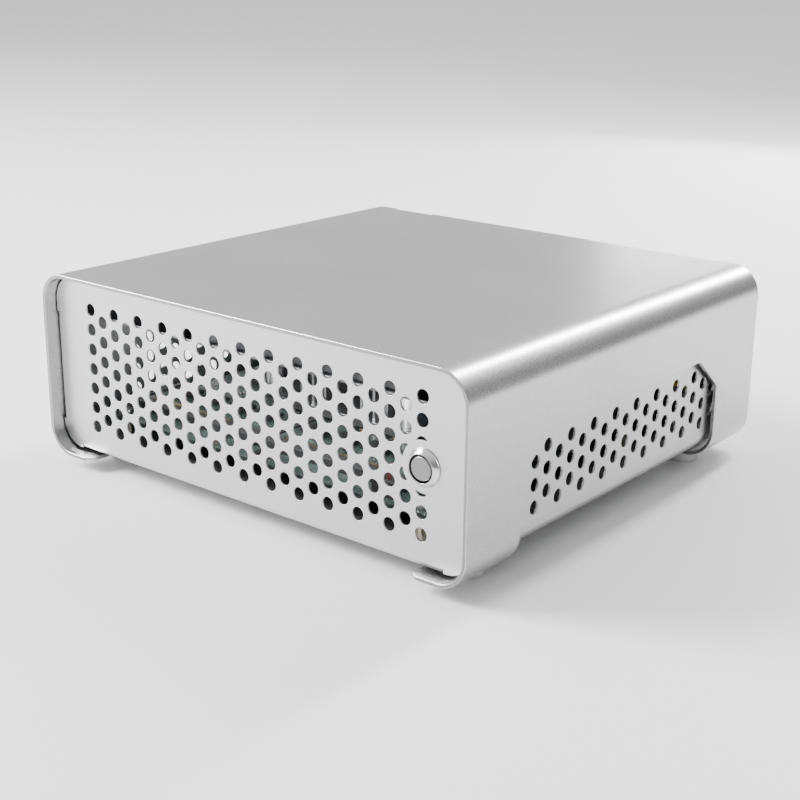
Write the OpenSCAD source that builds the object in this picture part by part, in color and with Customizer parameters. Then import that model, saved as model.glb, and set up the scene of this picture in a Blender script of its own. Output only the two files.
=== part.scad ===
// Small flat desktop computer: folded aluminium chassis, slide-on cover and
// everything inside it.  Millimetres, +Z up, front faces -Y, rear faces +Y,
// origin on the desk under the middle of the machine.

/* [Cover] */
// Outer width of the cover
cover_w = 211; // [206:1:300]
// Outer depth of the cover, front to rear
cover_d = 196; // [192:1:280]
// Outer height of the cover, without the foot pads
cover_h = 75; // [72:1:110]
// Thickness of the cover sheet
cover_t = 1.5; // [1:0.1:2]
// Outer radius of the four long bends
cover_r = 12; // [9:0.5:16]
// Width of the lips that curl in under the chassis
lip_w = 23.5; // [18:0.5:30]
// Front-to-rear length of each leg beside the window
leg_d = 30.5; // [26:0.5:40]
// Height of sheet left above each side window
window_drop = 30; // [24:1:36]
// Length of the window's cut corner along the side
window_cut_y = 15.5; // [8:0.5:20]
// Height of the window's cut corner
window_cut_z = 13; // [8:0.5:18]
// Width of the tabs that the thumbscrews go through
tab_w = 22; // [16:1:30]

/* [Feet] */
// Height of the foot pads
foot_h = 4.5; // [2:0.5:8]
// Diameter of the foot pads
foot_d = 12; // [8:0.5:16]

/* [Chassis] */
// Air gap between the cover and the chassis at the sides and top
side_gap = 0.5; // [0.4:0.1:1]
// Air gap between the cover's lips and the chassis
lip_gap = 1.1; // [0.8:0.1:2]
// Thickness of the chassis sheets
sheet_t = 1; // [0.8:0.1:1.6]
// Depth of the front panel behind the cover's front edge
front_recess = 5.5; // [2:0.5:8]
// Depth of the panels' folded flanges
flange_d = 12; // [10:0.5:16]
// Flat width of the flanges at the top of the tray's walls
tray_top_flange = 2; // [1:0.5:12]

/* [Perforation] */
// Diameter of the front panel's holes
hole_d = 5; // [3:0.1:6]
// Height from one hole to the next in a column
hole_pitch = 8; // [7:0.1:10]
// Distance between columns of holes
col_pitch = 6.9; // [6.2:0.1:9]
// Diameter of the side wall's holes
side_hole_d = 5; // [3:0.1:5.6]
// Height from one side hole to the next in a column
side_hole_pitch = 8.3; // [7.5:0.1:9]
// Distance between columns of side holes
side_col_pitch = 7.3; // [6.5:0.1:8.5]

/* [Power switch] */
// Distance of the switch from the chassis's right edge
switch_edge = 19.7; // [16:0.1:24]
// Diameter of the switch's bevelled head
switch_head_d = 13.6; // [13:0.1:18]
// Diameter of the switch's threaded barrel
switch_barrel_d = 12; // [10:0.1:12.5]
// Diameter of the push button
button_d = 8.4; // [6:0.1:8.8]
// Travel of the push button
button_travel = 1.5; // [1:0.1:2]
// Radius of the plain disc that the holes leave round the switch
switch_blank_r = 9.3; // [8:0.1:12]

/* [Mainboard] */
// Side of the square mainboard
board_w = 170; // [165:1:170]
// Thickness of the mainboard
board_t = 1.6; // [1.2:0.1:2]
// Height of the standoffs under the mainboard
standoff_h = 6.5; // [5:0.5:8]
// Width of the opening for the rear connectors
io_w = 158.8; // [150:0.1:160]
// Height of the opening for the rear connectors
io_h = 44.5; // [38:0.1:46]

/* [Cooler] */
// Side of the square heatsink and fan
fan_w = 80; // [70:1:92]
// Height of the heatsink's fins
fin_h = 20; // [12:1:22]
// Depth of the fan's frame
fan_t = 15; // [12:1:15]
// Diameter of the fan's shaft
fan_shaft_d = 3; // [2:0.1:4]

/* [Storage drive] */
// Length of the storage drive
drive_l = 100; // [90:1:102]
// Width of the storage drive
drive_w = 69.8; // [60:0.1:70]
// Thickness of the storage drive
drive_t = 7; // [5:0.5:9.5]

/* [Hidden] */
$fn = 48;
EPS = 0.01;

// Overall frame
foot_inset = 16.5;
foot_back = 7.2;
cover_z = foot_h;
top_z = cover_z + cover_h;
half_w = cover_w / 2;
thumb_knob_l = 6;
front_y = -(cover_d + thumb_knob_l) / 2;
rear_y = front_y + cover_d;
mid_y = (front_y + rear_y) / 2;

// Chassis envelope inside the cover
chassis_half = half_w - cover_t - side_gap;
chassis_z = cover_z + cover_t + lip_gap;
chassis_top = top_z - cover_t - side_gap;
chassis_h = chassis_top - chassis_z;
chassis_r = cover_r - cover_t - side_gap;
tab_gap = 0.3;
tab_bend_r = 0.3;
panel_y = front_y + front_recess;
panel_in = panel_y + sheet_t;
back_y = rear_y - cover_t - tab_gap;
back_in = back_y - sheet_t;
bend_r = 0.5;
bend_out = bend_r + sheet_t;
bend_relief = 0.4;

// Tray
tray_half = chassis_half - sheet_t;
tray_z = chassis_z + sheet_t;
floor_z = tray_z + sheet_t;
tray_top = chassis_top - sheet_t;
tray_r = chassis_r - sheet_t;
tray_in = tray_half - sheet_t;
tray_front = panel_in + bend_r + 0.2;
tray_rear = back_in - bend_r - 0.2;
glide_d = 8;
glide_gap = 0.35;

// Side flanges of the panels stop short of the corners
flange_clear = 1.5;
top_flange_gap = 20;
flange_low = chassis_z + chassis_r + 1;
flange_high = chassis_top - 15.5;
flange_floor_half = chassis_half - chassis_r - flange_clear;
flange_top_half = flange_floor_half - top_flange_gap;
rivet_d = 3.2;
rivet_head_d = 5;
rivet_head_t = 0.6;
rivet_tail_t = 1;
rivet_inset = flange_d / 2 + 0.5;
rivet_side_z = [flange_low + 6, flange_high - 8];
rivet_floor_x = [-0.74 * chassis_half, 0, 0.74 * chassis_half];

// Front perforation: a centred triangular grid with a plain border
grid_border_x = 20;
grid_border_z = 10.5;
grid_mid_z = (chassis_z + chassis_top) / 2;
grid_cols = floor((chassis_half - grid_border_x) / col_pitch);
grid_rows = floor((chassis_h / 2 - grid_border_z) / hole_pitch);

// Side perforation
window_top = top_z - window_drop;
side_first_y = front_y + leg_d + 12;
side_last_y = rear_y - leg_d + 2;
side_cols = floor((side_last_y - side_first_y) / side_col_pitch) + 1;
side_top_z = window_top - 7;
side_low_z = tray_z + tray_r + 3;
side_rows = floor((side_top_z - side_low_z) / (side_hole_pitch / 2));

// Power switch
switch_x = chassis_half - switch_edge;
switch_z = grid_mid_z;
head_t = 2;
head_rim_t = 0.5;
head_face_d = switch_head_d - 3.2;
barrel_l = 22;
well_d = button_d + 1.4;
cap_recess = 0.1;
cap_t = 2.2;
spring_clear = 0.3;
spring_room = 3.2;
well_depth = cap_recess + cap_t + button_travel + spring_room;
plunger_d = 5;
plunger_fit = 0.05;
switch_wall_y = panel_y - head_t + well_depth;
nut_t = 2.2;
nut_d = switch_barrel_d + 5;
base_l = 6;
switch_end_y = panel_y + barrel_l;
contact_d = 1.6;
contact_l = 4;
contact_x = 2.6;
spring_wire = 0.5;
spring_coil_d = 6.6;
spring_turns = 4;

// Mainboard
board_hole_x = 6.35;
standoff_d = 6;
board_left = -tray_half + tray_r + standoff_d / 2 + 0.2 - board_hole_x;
board_rear = back_in - 1.5;
board_front = board_rear - board_w;
board_right = board_left + board_w;
board_z = floor_z + standoff_h;
board_top = board_z + board_t;
board_mid_x = (board_left + board_right) / 2;
screw_d = 3;
screw_head_d = 5.6;
screw_head_t = 1.8;
// Mounting holes: distance from the left edge, distance from the rear edge
board_holes = [
  [board_hole_x, 10.16],
  [board_w - board_hole_x, 33.02],
  [board_hole_x, board_w - 4.9],
  [board_w - board_hole_x, board_w - 4.9]
];

// Rear connectors
io_x = board_mid_x;
io_z = board_top - 2.2;
port_y = back_y - 0.2;
shield_t = 0.6;
shield_lip = 1.8;
shield_fit = 0.2;
port_fit = 0.25;
// Each connector: distance from the opening's left edge, width, height, length
usb_size = [13.2, 15.6, 18];
usb_at = [52, 100];
lan_size = [16, 13.4, 21.5];
lan_at = 76;
hdmi_size = [15, 5.8, 13];
hdmi_at = 12;
dp_size = [17, 6.4, 14];
dp_at = 32;
jack_size = [11.5, 12, 14];
jack_at = [120, 133, 146];
jack_bore_d = 3.6;

// Cooler
cooler_x = board_mid_x - 4;
cooler_y = board_front + 0.53 * board_w;
chip_w = 26;
chip_t = 1.6;
pad_t = 0.4;
base_t = 3.5;
sink_z = board_top + chip_t + pad_t;
fin_z = sink_z + base_t;
fan_z = fin_z + fin_h;
fin_t = 1.4;
fin_count = 13;
post_d = 8;
cooler_hole = fan_w / 2 - 4.25;
backplate_t = 1.5;
fan_bore_d = fan_w - 4;
hub_d = 34;
hub_wall = 1.2;
hub_base_t = 2.5;
boss_d = 8;
boss_h = 9;
shaft_fit = 0.04;
rotor_gap = 0.8;
blade_count = 7;
blade_t = 1.2;
blade_tilt = 32;
blade_tip_gap = 1.2;

// Memory
mem_l = 67.6;
mem_w = 30;
mem_t = 1;
mem_lift = 2.4;
mem_socket_l = 73;
mem_socket_d = 6.5;
mem_socket_h = 4;
mem_y = board_front + 11;
mem_x = [board_left + 38.5, board_left + 113.5];

// Flash card, slot and small parts
flash_l = 80;
flash_w = 22;
flash_t = 0.8;
flash_lift = 2.6;
flash_x = cooler_x + fan_w / 2 + 16;
flash_y = cooler_y - 28;
slot_l = 89;
slot_w = 7.5;
slot_h = 11.2;
slot_x = board_right - 5.5;
slot_y = board_front + 38;
choke_w = 7;
choke_h = 5.2;
cap_d = 6.3;
cap_h = 9;
cell_d = 20;
cell_t = 3.2;
cell_x = board_left + 20;
cell_y = board_rear - 46;

// Storage drive and its bracket
bracket_t = 1.2;
bracket_z = fan_z + fan_t + 3;
bracket_front = panel_in + 6.5;
bracket_d = drive_w + 4;
// The lugs end below the tray's top bends
bracket_lug_h = min(6, tray_top - tray_r - bracket_z - 0.2);
bracket_lug_l = 16;
drive_z = bracket_z + bracket_t;
drive_x0 = tray_in - 33 - drive_l;
drive_y0 = bracket_front + 2;
drive_hole_x = [14, drive_l - 9.4];
drive_hole_y = [4.1, drive_w - 4.1];
bracket_screw_d = 3;
bracket_head_t = 1.2;
bracket_screw_y = [bracket_front + 10, bracket_front + bracket_d - 10];
bracket_screw_z = bracket_z + 3.2;

// Thumbscrews
thumb_x = chassis_half - 29;
thumb_z = top_z - 9;
thumb_d = 3.5;
thumb_knob_d = 10;
thumb_reach = 7;
thumb_hole_d = 4;
insert_d = 5.4;
insert_l = 3.5;
tab_drop = 16;

// Power inlet
inlet_x = (board_right + tray_in) / 2;
inlet_z = floor_z + 22;
inlet_d = 11;
inlet_flange_d = 14.5;
inlet_flange_t = 2;
inlet_l = 17;
inlet_bore_d = 6.4;
inlet_bore_l = 9.5;
inlet_pin_d = 2.1;
inlet_nut_t = 2.2;
inlet_nut_d = 16;

// Leads: outer diameters and hand-chosen routes
lead_d = 2.2;
lead_sides = 8;
header_h = 6;
header_y = board_front + 6;
switch_header_x = board_right - 24;
fan_header_x = cooler_x + 34;
fan_header_y = cooler_y + fan_w / 2 + 9;
dc_header_x = board_right - 8;
dc_header_y = board_rear - 19;
sata_x = [board_right - 14.5, board_right - 6.5];
sata_y = board_front + 19.5;
drive_header_x = board_right - 10.5;
drive_header_y = board_front + 31;
sata_size = [5, 12, 8];
drive_plug_l = 8;
drive_plug_t = 4.4;
plug_x = drive_x0 + drive_l;

// ---------- helpers ----------

// A flat shape drawn in X and Z, made into a sheet from y0 backwards
module sheet_y(y0, t) {
  translate([0, y0 + t, 0]) rotate([90, 0, 0]) linear_extrude(t) children();
}

// A flat shape drawn in Y and Z, made into a sheet from x0 to the right
module sheet_x(x0, t) {
  translate([x0, 0, 0]) rotate([90, 0, 90]) linear_extrude(t) children();
}

// A rectangle with round corners, centred across and standing on z
module round_rect(w, h, r, z = 0) {
  translate([-w / 2 + r, z]) square([w - 2 * r, h]);
  translate([-w / 2, z + r]) square([w, h - 2 * r]);
  for (sx = [-1, 1]) {
    for (sz = [0, 1]) {
      translate([sx * (w / 2 - r), z + r + sz * (h - 2 * r)]) circle(r);
    }
  }
}

// A box given by its lowest corner and size, with its upright edges rounded
module soft_box(at, size, r) {
  translate([at[0] + size[0] / 2, at[1], at[2]]) linear_extrude(size[2]) {
    round_rect(size[0], size[1], r);
  }
}

// A cylinder along +Y starting at a point
module rod_y(at, d, l) {
  translate(at) rotate([-90, 0, 0]) cylinder(d = d, h = l);
}

// A cylinder along +X starting at a point
module rod_x(at, d, l) {
  translate(at) rotate([0, 90, 0]) cylinder(d = d, h = l);
}

// A hexagonal prism along +Y with a round hole through it
module nut_y(at, d, l, bore) {
  translate(at) rotate([-90, 0, 0]) difference() {
    cylinder(d = d, h = l, $fn = 6);
    translate([0, 0, -1]) cylinder(d = bore, h = l + 2);
  }
}

// Both sides of the machine
module both_sides() {
  children();
  mirror([1, 0, 0]) children();
}

// Profile of a folded edge: u runs out of the sheet, v runs back along the flange
module fold_profile(depth) {
  intersection() {
    difference() {
      circle(bend_out);
      circle(bend_r);
    }
    translate([0, -bend_out]) square(bend_out);
  }
  translate([bend_r, 0]) square([sheet_t, depth - bend_out]);
}

// Tube through a list of points, built as one closed surface
function unit(v) = v / norm(v);
function tangent(p, i) =
  unit(p[min(i + 1, len(p) - 1)] - p[max(i - 1, 0)]);
function side_vector(t) =
  unit(cross(t, abs(t[2]) < 0.8 ? [0, 0, 1] : [0, 1, 0]));
function ring_points(p, i, r, n) =
  let (t = tangent(p, i), a = side_vector(t), b = cross(t, a))
  [for (k = [0:n - 1]) p[i] + r * (cos(360 * k / n) * a + sin(360 * k / n) * b)];
// Smooth curve through hand-placed points
function spline_point(a, b, c, d, s) =
  0.5 * (2 * b + (c - a) * s + (2 * a - 5 * b + 4 * c - d) * s * s
  + (3 * b - a - 3 * c + d) * s * s * s);
function smooth(p, steps) = concat(
  [for (i = [0:len(p) - 2], j = [0:steps - 1])
    spline_point(p[max(i - 1, 0)], p[i], p[i + 1], p[min(i + 2, len(p) - 1)], j / steps)],
  [p[len(p) - 1]]);
module tube(p, d, n = lead_sides) {
  rings = len(p);
  points = [for (i = [0:rings - 1]) each ring_points(p, i, d / 2, n)];
  walls = [for (i = [0:rings - 2], k = [0:n - 1]) each
    [[i * n + k, (i + 1) * n + k, (i + 1) * n + (k + 1) % n],
     [i * n + k, (i + 1) * n + (k + 1) % n, i * n + (k + 1) % n]]];
  start = [[for (k = [0:n - 1]) k]];
  end = [[for (k = [n - 1:-1:0]) (rings - 1) * n + k]];
  polyhedron(points, concat(start, walls, end));
}

// ---------- cover ----------

module cover_section() {
  difference() {
    round_rect(cover_w, cover_h, cover_r, cover_z);
    round_rect(cover_w - 2 * cover_t, cover_h - 2 * cover_t, cover_r - cover_t, cover_z + cover_t);
    translate([-(half_w - lip_w), cover_z - 1]) square([2 * (half_w - lip_w), cover_t + 2]);
  }
}

// Outline of a side window in Y and Z
module window_outline() {
  y1 = front_y + leg_d;
  y2 = rear_y - leg_d;
  polygon([
    [y1, cover_z - 1], [y1, window_top - window_cut_z], [y1 + window_cut_y, window_top],
    [y2 - window_cut_y, window_top], [y2, window_top - window_cut_z], [y2, cover_z - 1]
  ]);
}

// What the window takes out of the flat lips, in X and Y
module lip_gap_outline() {
  y1 = front_y + leg_d;
  y2 = rear_y - leg_d;
  translate([half_w - lip_w - 1, y1]) square([lip_w + 2, y2 - y1]);
}

// Rounds one free corner of a lip; s gives which way the corner points along Y
module lip_corner(y, s) {
  r = 4;
  translate([half_w - lip_w, y]) difference() {
    translate([-1, s > 0 ? -r : -1]) square([r + 1, r + 1]);
    translate([r, -s * r]) circle(r);
  }
}

// Tab that folds down from the cover's rear edge
module tab() {
  r = tab_bend_r + cover_t;
  x0 = thumb_x - tab_w / 2;
  sheet_x(x0, tab_w) {
    intersection() {
      translate([rear_y - r, top_z - r]) difference() {
        circle(r);
        circle(tab_bend_r);
      }
      translate([rear_y - r, top_z - r]) square(r);
    }
    translate([rear_y - cover_t, top_z - tab_drop]) square([cover_t, tab_drop - r]);
  }
}

module cover() {
  tab_r = tab_bend_r + cover_t;
  color([0.78, 0.78, 0.79]) difference() {
    union() {
      difference() {
        sheet_y(front_y, cover_d) cover_section();
        both_sides() {
          sheet_x(half_w - cover_r, cover_r + 1) window_outline();
          translate([0, 0, cover_z - 1]) linear_extrude(cover_t + 2) {
            lip_gap_outline();
            lip_corner(front_y, -1);
            lip_corner(front_y + leg_d, 1);
            lip_corner(rear_y - leg_d, -1);
            lip_corner(rear_y, 1);
          }
          translate([thumb_x - tab_w / 2, rear_y - tab_r, top_z - cover_t - 1]) {
            cube([tab_w, tab_r + 1, cover_t + 2]);
          }
        }
      }
      both_sides() tab();
    }
    for (s = [-1, 1]) {
      rod_y([s * thumb_x, rear_y - cover_t - 1, thumb_z], thumb_hole_d, cover_t + 2);
    }
  }
}

module foot_pads() {
  bevel = 0.5;
  color([0.45, 0.46, 0.47]) both_sides() {
    for (y = [front_y + leg_d - foot_back, rear_y - leg_d + foot_back]) {
      translate([half_w - foot_inset, y, 0]) {
        cylinder(d1 = foot_d - 2 * bevel, d2 = foot_d, h = bevel);
        translate([0, 0, bevel]) cylinder(d = foot_d, h = foot_h - bevel);
      }
    }
  }
}

// A knurled knob on a plain shank, outside the tab
module thumbscrew(x) {
  ribs = 18;
  y = rear_y;
  color([0.7, 0.7, 0.72]) {
    rod_y([x, y - thumb_reach, thumb_z], thumb_d, thumb_reach + 1);
    translate([x, y + thumb_knob_l, thumb_z]) rotate([90, 0, 0]) linear_extrude(thumb_knob_l) {
      difference() {
        circle(d = thumb_knob_d);
        for (k = [0:ribs - 1]) {
          rotate(360 * k / ribs) translate([thumb_knob_d / 2 + 0.1, 0]) circle(0.5);
        }
      }
    }
  }
}
module thumbscrew_left() thumbscrew(-thumb_x);
module thumbscrew_right() thumbscrew(thumb_x);

// ---------- chassis ----------

// Ring that follows the cover's bends, open between two short top flanges
module tray_section() {
  difference() {
    round_rect(2 * tray_half, tray_top - tray_z, tray_r, tray_z);
    round_rect(2 * tray_in, tray_top - tray_z - 2 * sheet_t, tray_r - sheet_t, floor_z);
    opening = tray_half - tray_r - tray_top_flange;
    translate([-opening, tray_top - sheet_t - 1]) square([2 * opening, sheet_t + 2]);
  }
}

// Holes of both tray walls, in Y and Z
module side_holes() {
  for (i = [0:side_cols - 1]) {
    for (j = [0:side_rows]) {
      if ((i + j) % 2 == 1) {
        translate([side_first_y + i * side_col_pitch, side_top_z - j * side_hole_pitch / 2]) {
          circle(d = side_hole_d);
        }
      }
    }
  }
}

module tray() {
  glide_h = tray_z - cover_z - cover_t - glide_gap;
  color([0.76, 0.76, 0.77]) difference() {
    union() {
      sheet_y(tray_front, tray_rear - tray_front) tray_section();
      both_sides() {
        for (y = [front_y + leg_d - 8, rear_y - leg_d + 8]) {
          translate([half_w - lip_w + 5, y, tray_z - glide_h]) cylinder(d = glide_d, h = glide_h + EPS);
        }
      }
    }
    both_sides() sheet_x(tray_in - 1, sheet_t + 2) side_holes();
    all_rivets();
    for (y = bracket_screw_y) {
      rod_x([-tray_half - 1, y, bracket_screw_z], bracket_screw_d, 2 * tray_half + 2);
    }
    for (h = board_holes) {
      translate([board_left + h[0], board_rear - h[1], tray_z - 1]) cylinder(d = 3.4, h = sheet_t + 2);
    }
  }
}

// Shanks and flush heads of one row of rivets: in the side walls, and in the floor
module rivet_side(y) {
  both_sides() {
    for (z = rivet_side_z) {
      rod_x([tray_in - rivet_tail_t, y, z], rivet_d, rivet_tail_t + 2 * sheet_t);
      rod_x([chassis_half - rivet_head_t, y, z], rivet_head_d, rivet_head_t);
      rod_x([tray_in - rivet_tail_t, y, z], rivet_head_d, rivet_tail_t);
    }
  }
}
module rivet_floor(y) {
  for (x = rivet_floor_x) {
    translate([x, y, chassis_z]) {
      cylinder(d = rivet_d, h = 2 * sheet_t + rivet_tail_t);
      cylinder(d = rivet_head_d, h = rivet_head_t);
      translate([0, 0, 2 * sheet_t]) cylinder(d = rivet_head_d, h = rivet_tail_t);
    }
  }
}
module all_rivets() {
  for (y = [panel_y + rivet_inset, back_y - rivet_inset]) {
    rivet_side(y);
    rivet_floor(y);
  }
}
module rivets() {
  color([0.7, 0.7, 0.71]) all_rivets();
}

// Folded flange along a panel's upper edge, from -half to half in X
module flange_up(half) {
  translate([-half, 0, 0]) rotate([90, 0, 90]) linear_extrude(2 * half) {
    mirror([1, -1]) fold_profile(flange_d);
  }
}

// One panel with its four folded flanges.  The face is at y = 0 and the
// flanges run towards +Y.
module folded_panel() {
  straight_side = flange_high - flange_low;
  sheet_y(0, sheet_t) difference() {
    round_rect(2 * chassis_half, chassis_h, chassis_r, chassis_z);
    both_sides() {
      translate([chassis_half - bend_out, flange_low - bend_relief]) {
        square([bend_out + 1, straight_side + 2 * bend_relief]);
      }
    }
    translate([-flange_floor_half - bend_relief, chassis_z - 1]) {
      square([2 * (flange_floor_half + bend_relief), bend_out + 1]);
    }
    translate([-flange_top_half - bend_relief, chassis_top - bend_out]) {
      square([2 * (flange_top_half + bend_relief), bend_out + 1]);
    }
  }
  both_sides() {
    translate([chassis_half - bend_out, bend_out, flange_low]) linear_extrude(straight_side) {
      fold_profile(flange_d);
    }
  }
  translate([0, bend_out, chassis_top - bend_out]) flange_up(flange_top_half);
  translate([0, bend_out, chassis_z + bend_out]) rotate([0, 180, 0]) flange_up(flange_floor_half);
}

// Round holes of the front panel, in X and Z, with the last columns cut
// back round the switch
module front_holes() {
  difference() {
    for (i = [-grid_cols:grid_cols]) {
      odd = abs(i) % 2 == grid_cols % 2 ? 0 : 1;
      for (j = [-grid_rows:grid_rows - odd]) {
        translate([i * col_pitch, grid_mid_z + (j + odd / 2) * hole_pitch]) circle(d = hole_d);
      }
    }
    translate([switch_x, switch_z]) circle(switch_blank_r);
  }
}

module front_panel() {
  color([0.82, 0.82, 0.83]) difference() {
    translate([0, panel_y, 0]) folded_panel();
    sheet_y(panel_y - 1, sheet_t + 2) {
      front_holes();
      translate([switch_x, switch_z]) circle(d = switch_barrel_d);
    }
    rivet_side(panel_y + rivet_inset);
    rivet_floor(panel_y + rivet_inset);
  }
}

// Vent holes of the rear panel, above the connectors
module rear_vents() {
  z = (io_z + io_h + shield_lip + chassis_top - bend_out) / 2;
  n = floor((thumb_x - tab_w / 2 - 6) / col_pitch);
  for (i = [-n:n]) {
    translate([i * col_pitch, z + (abs(i) % 2 == 0 ? 2 : -2)]) circle(d = 4);
  }
  for (i = [-1:1]) {
    for (j = [0:2]) {
      translate([inlet_x + i * col_pitch, inlet_z + 13 + (j + abs(i) / 2) * 6.4]) circle(d = 4);
    }
  }
}

module rear_panel() {
  color([0.78, 0.78, 0.79]) difference() {
    translate([0, back_y, 0]) mirror([0, 1, 0]) folded_panel();
    sheet_y(back_in - 1, sheet_t + 2) {
      translate([io_x - io_w / 2, io_z]) square([io_w, io_h]);
      rear_vents();
      translate([inlet_x, inlet_z]) circle(d = inlet_d);
      for (s = [-1, 1]) translate([s * thumb_x, thumb_z]) circle(d = insert_d);
    }
    rivet_side(back_y - rivet_inset);
    rivet_floor(back_y - rivet_inset);
  }
}

// Threaded inserts that the thumbscrews go into
module rivet_nuts() {
  color([0.72, 0.68, 0.5]) for (s = [-1, 1]) {
    difference() {
      union() {
        rod_y([s * thumb_x, back_y - insert_l, thumb_z], insert_d, insert_l);
        rod_y([s * thumb_x, back_in - 0.8, thumb_z], insert_d + 1.6, 0.8);
      }
      rod_y([s * thumb_x, back_y - insert_l - 1, thumb_z], thumb_d + 0.1, insert_l + 2);
    }
  }
}

// ---------- power switch ----------

// Parts of the switch are turned about its own axis, then laid along +Y
module turned(at_y) {
  translate([switch_x, at_y, switch_z]) rotate([-90, 0, 0]) rotate_extrude() children();
}

module switch_housing() {
  bore_r = plunger_d / 2 + plunger_fit;
  base_r = bore_r + 2;
  r = switch_head_d / 2;
  // Y measured from the front face of the head
  color([0.86, 0.86, 0.87]) turned(panel_y - head_t) polygon([
    [well_d / 2, 0], [head_face_d / 2, 0], [r, head_t - head_rim_t], [r, head_t],
    [switch_barrel_d / 2, head_t], [switch_barrel_d / 2, head_t + barrel_l],
    [base_r, head_t + barrel_l], [base_r, well_depth + 5], [bore_r, well_depth + 5],
    [bore_r, well_depth], [well_d / 2, well_depth]
  ]);
}

module switch_button() {
  color([0.8, 0.8, 0.81]) turned(panel_y - head_t + cap_recess) polygon([
    [0, 0], [button_d / 2 - 0.3, 0], [button_d / 2, 0.3], [button_d / 2, cap_t],
    [plunger_d / 2, cap_t], [plunger_d / 2, well_depth + 8], [0, well_depth + 8]
  ]);
}

module switch_spring() {
  cap_back = panel_y - head_t + cap_recess + cap_t + spring_clear;
  len = switch_wall_y - cap_back - spring_clear - spring_wire;
  steps = 12 * spring_turns;
  path = [for (k = [0:steps]) [
    switch_x + spring_coil_d / 2 * cos(30 * k),
    cap_back + spring_wire / 2 + len * k / steps,
    switch_z + spring_coil_d / 2 * sin(30 * k)
  ]];
  color([0.6, 0.6, 0.6]) tube(path, spring_wire, 6);
}

module switch_nut() {
  color([0.75, 0.75, 0.76]) {
    nut_y([switch_x, panel_in, switch_z], nut_d, nut_t, switch_barrel_d);
  }
}

// Plastic contact block in the barrel's open end, with two pins
module switch_base() {
  base_r = plunger_d / 2 + plunger_fit + 2;
  color([0.1, 0.1, 0.1]) {
    rod_y([switch_x, switch_end_y - base_l + 2, switch_z], 2 * base_r, base_l - 2);
    rod_y([switch_x, switch_end_y, switch_z], switch_barrel_d - 1, 2);
  }
  color([0.8, 0.7, 0.4]) for (s = [-1, 1]) {
    rod_y([switch_x + s * contact_x, switch_end_y + 2 - EPS, switch_z], contact_d, contact_l);
  }
}

module switch_lead() {
  y0 = switch_end_y + 2 + contact_l;
  for (s = [-1, 1]) {
    path = smooth([
      [switch_x + s * contact_x, y0, switch_z],
      [switch_x + s * contact_x, y0 + 1, switch_z],
      [switch_x + s * contact_x, y0 + 4, switch_z],
      [switch_x + s * 1.3 - 2, y0 + 8, switch_z - 6],
      [switch_x + s * 1.3 - 6, y0 + 2, floor_z + 14],
      [switch_header_x + s * 1.3 + 8, header_y + 4, board_top + header_h + 5],
      [switch_header_x + s * 1.3, header_y, board_top + header_h + 4],
      [switch_header_x + s * 1.3, header_y, board_top + header_h + 1],
      [switch_header_x + s * 1.3, header_y, board_top + header_h]
    ], 5);
    color(s < 0 ? [0.05, 0.05, 0.05] : [0.6, 0.05, 0.05]) tube(path, 1.4);
  }
}

// ---------- mainboard ----------

module at_board_holes(z) {
  for (h = board_holes) {
    translate([board_left + h[0], board_rear - h[1], z]) children();
  }
}

module at_cooler_holes(z) {
  for (sx = [-1, 1]) {
    for (sy = [-1, 1]) {
      translate([cooler_x + sx * cooler_hole, cooler_y + sy * cooler_hole, z]) children();
    }
  }
}

module standoffs() {
  color([0.75, 0.65, 0.35]) at_board_holes(0) {
    difference() {
      union() {
        translate([0, 0, floor_z]) cylinder(d = standoff_d, h = standoff_h, $fn = 6);
        translate([0, 0, tray_z]) cylinder(d = 3.4, h = sheet_t + EPS);
      }
      translate([0, 0, tray_z - 1]) cylinder(d = screw_d, h = standoff_h + sheet_t + 2);
    }
  }
}

module mainboard() {
  color([0.1, 0.22, 0.16]) difference() {
    soft_box([board_left, board_front, board_z], [board_w, board_w, board_t], 2);
    at_board_holes(board_z - 1) cylinder(d = 3.4, h = board_t + 2);
    at_cooler_holes(board_z - 1) cylinder(d = 3.4, h = board_t + 2);
    translate([flash_x, flash_y + flash_l, board_z - 1]) cylinder(d = 2, h = board_t + 2);
  }
}

module board_screws() {
  color([0.8, 0.8, 0.8]) at_board_holes(board_top) difference() {
    union() {
      cylinder(d = screw_head_d, h = screw_head_t);
      translate([0, 0, -5]) cylinder(d = screw_d, h = 5);
    }
    for (a = [0, 90]) {
      rotate(a) translate([-1.6, -0.35, screw_head_t - 0.9]) cube([3.2, 0.7, 2]);
    }
  }
}

// ---------- rear connectors ----------

// Left edge of something at a distance along the opening, as seen from the front
function io_at(d) = io_x - io_w / 2 + d;

// Block of a connector, its face at the shield
module port_block(at, size) {
  translate([io_at(at) - size[0] / 2, port_y - size[2], board_top]) {
    cube([size[0], size[2], size[1]]);
  }
}

// A space in a connector's mouth: centre, bottom, width, height, depth
module port_space(at, z, w, h, depth) {
  translate([io_at(at) - w / 2, port_y - depth, board_top + z]) cube([w, depth + 1, h]);
}

module usb_ports() {
  mouth = [12, 5.2, 9];
  tongue = [11, 8.6, 1.6];
  rows = [1.2, 9];
  color([0.75, 0.75, 0.76]) for (at = usb_at) {
    difference() {
      port_block(at, usb_size);
      for (z = rows) port_space(at, z, mouth[0], mouth[1], mouth[2]);
    }
    for (z = rows) {
      translate([io_at(at) - tongue[0] / 2, port_y - mouth[2] - 0.1, board_top + z + 3]) {
        cube(tongue);
      }
    }
  }
}

module lan_port() {
  color([0.74, 0.74, 0.75]) difference() {
    port_block(lan_at, lan_size);
    port_space(lan_at, 4, 11.8, 7.6, 14);
    port_space(lan_at, 1.4, 6, 3, 14);
  }
}

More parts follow.
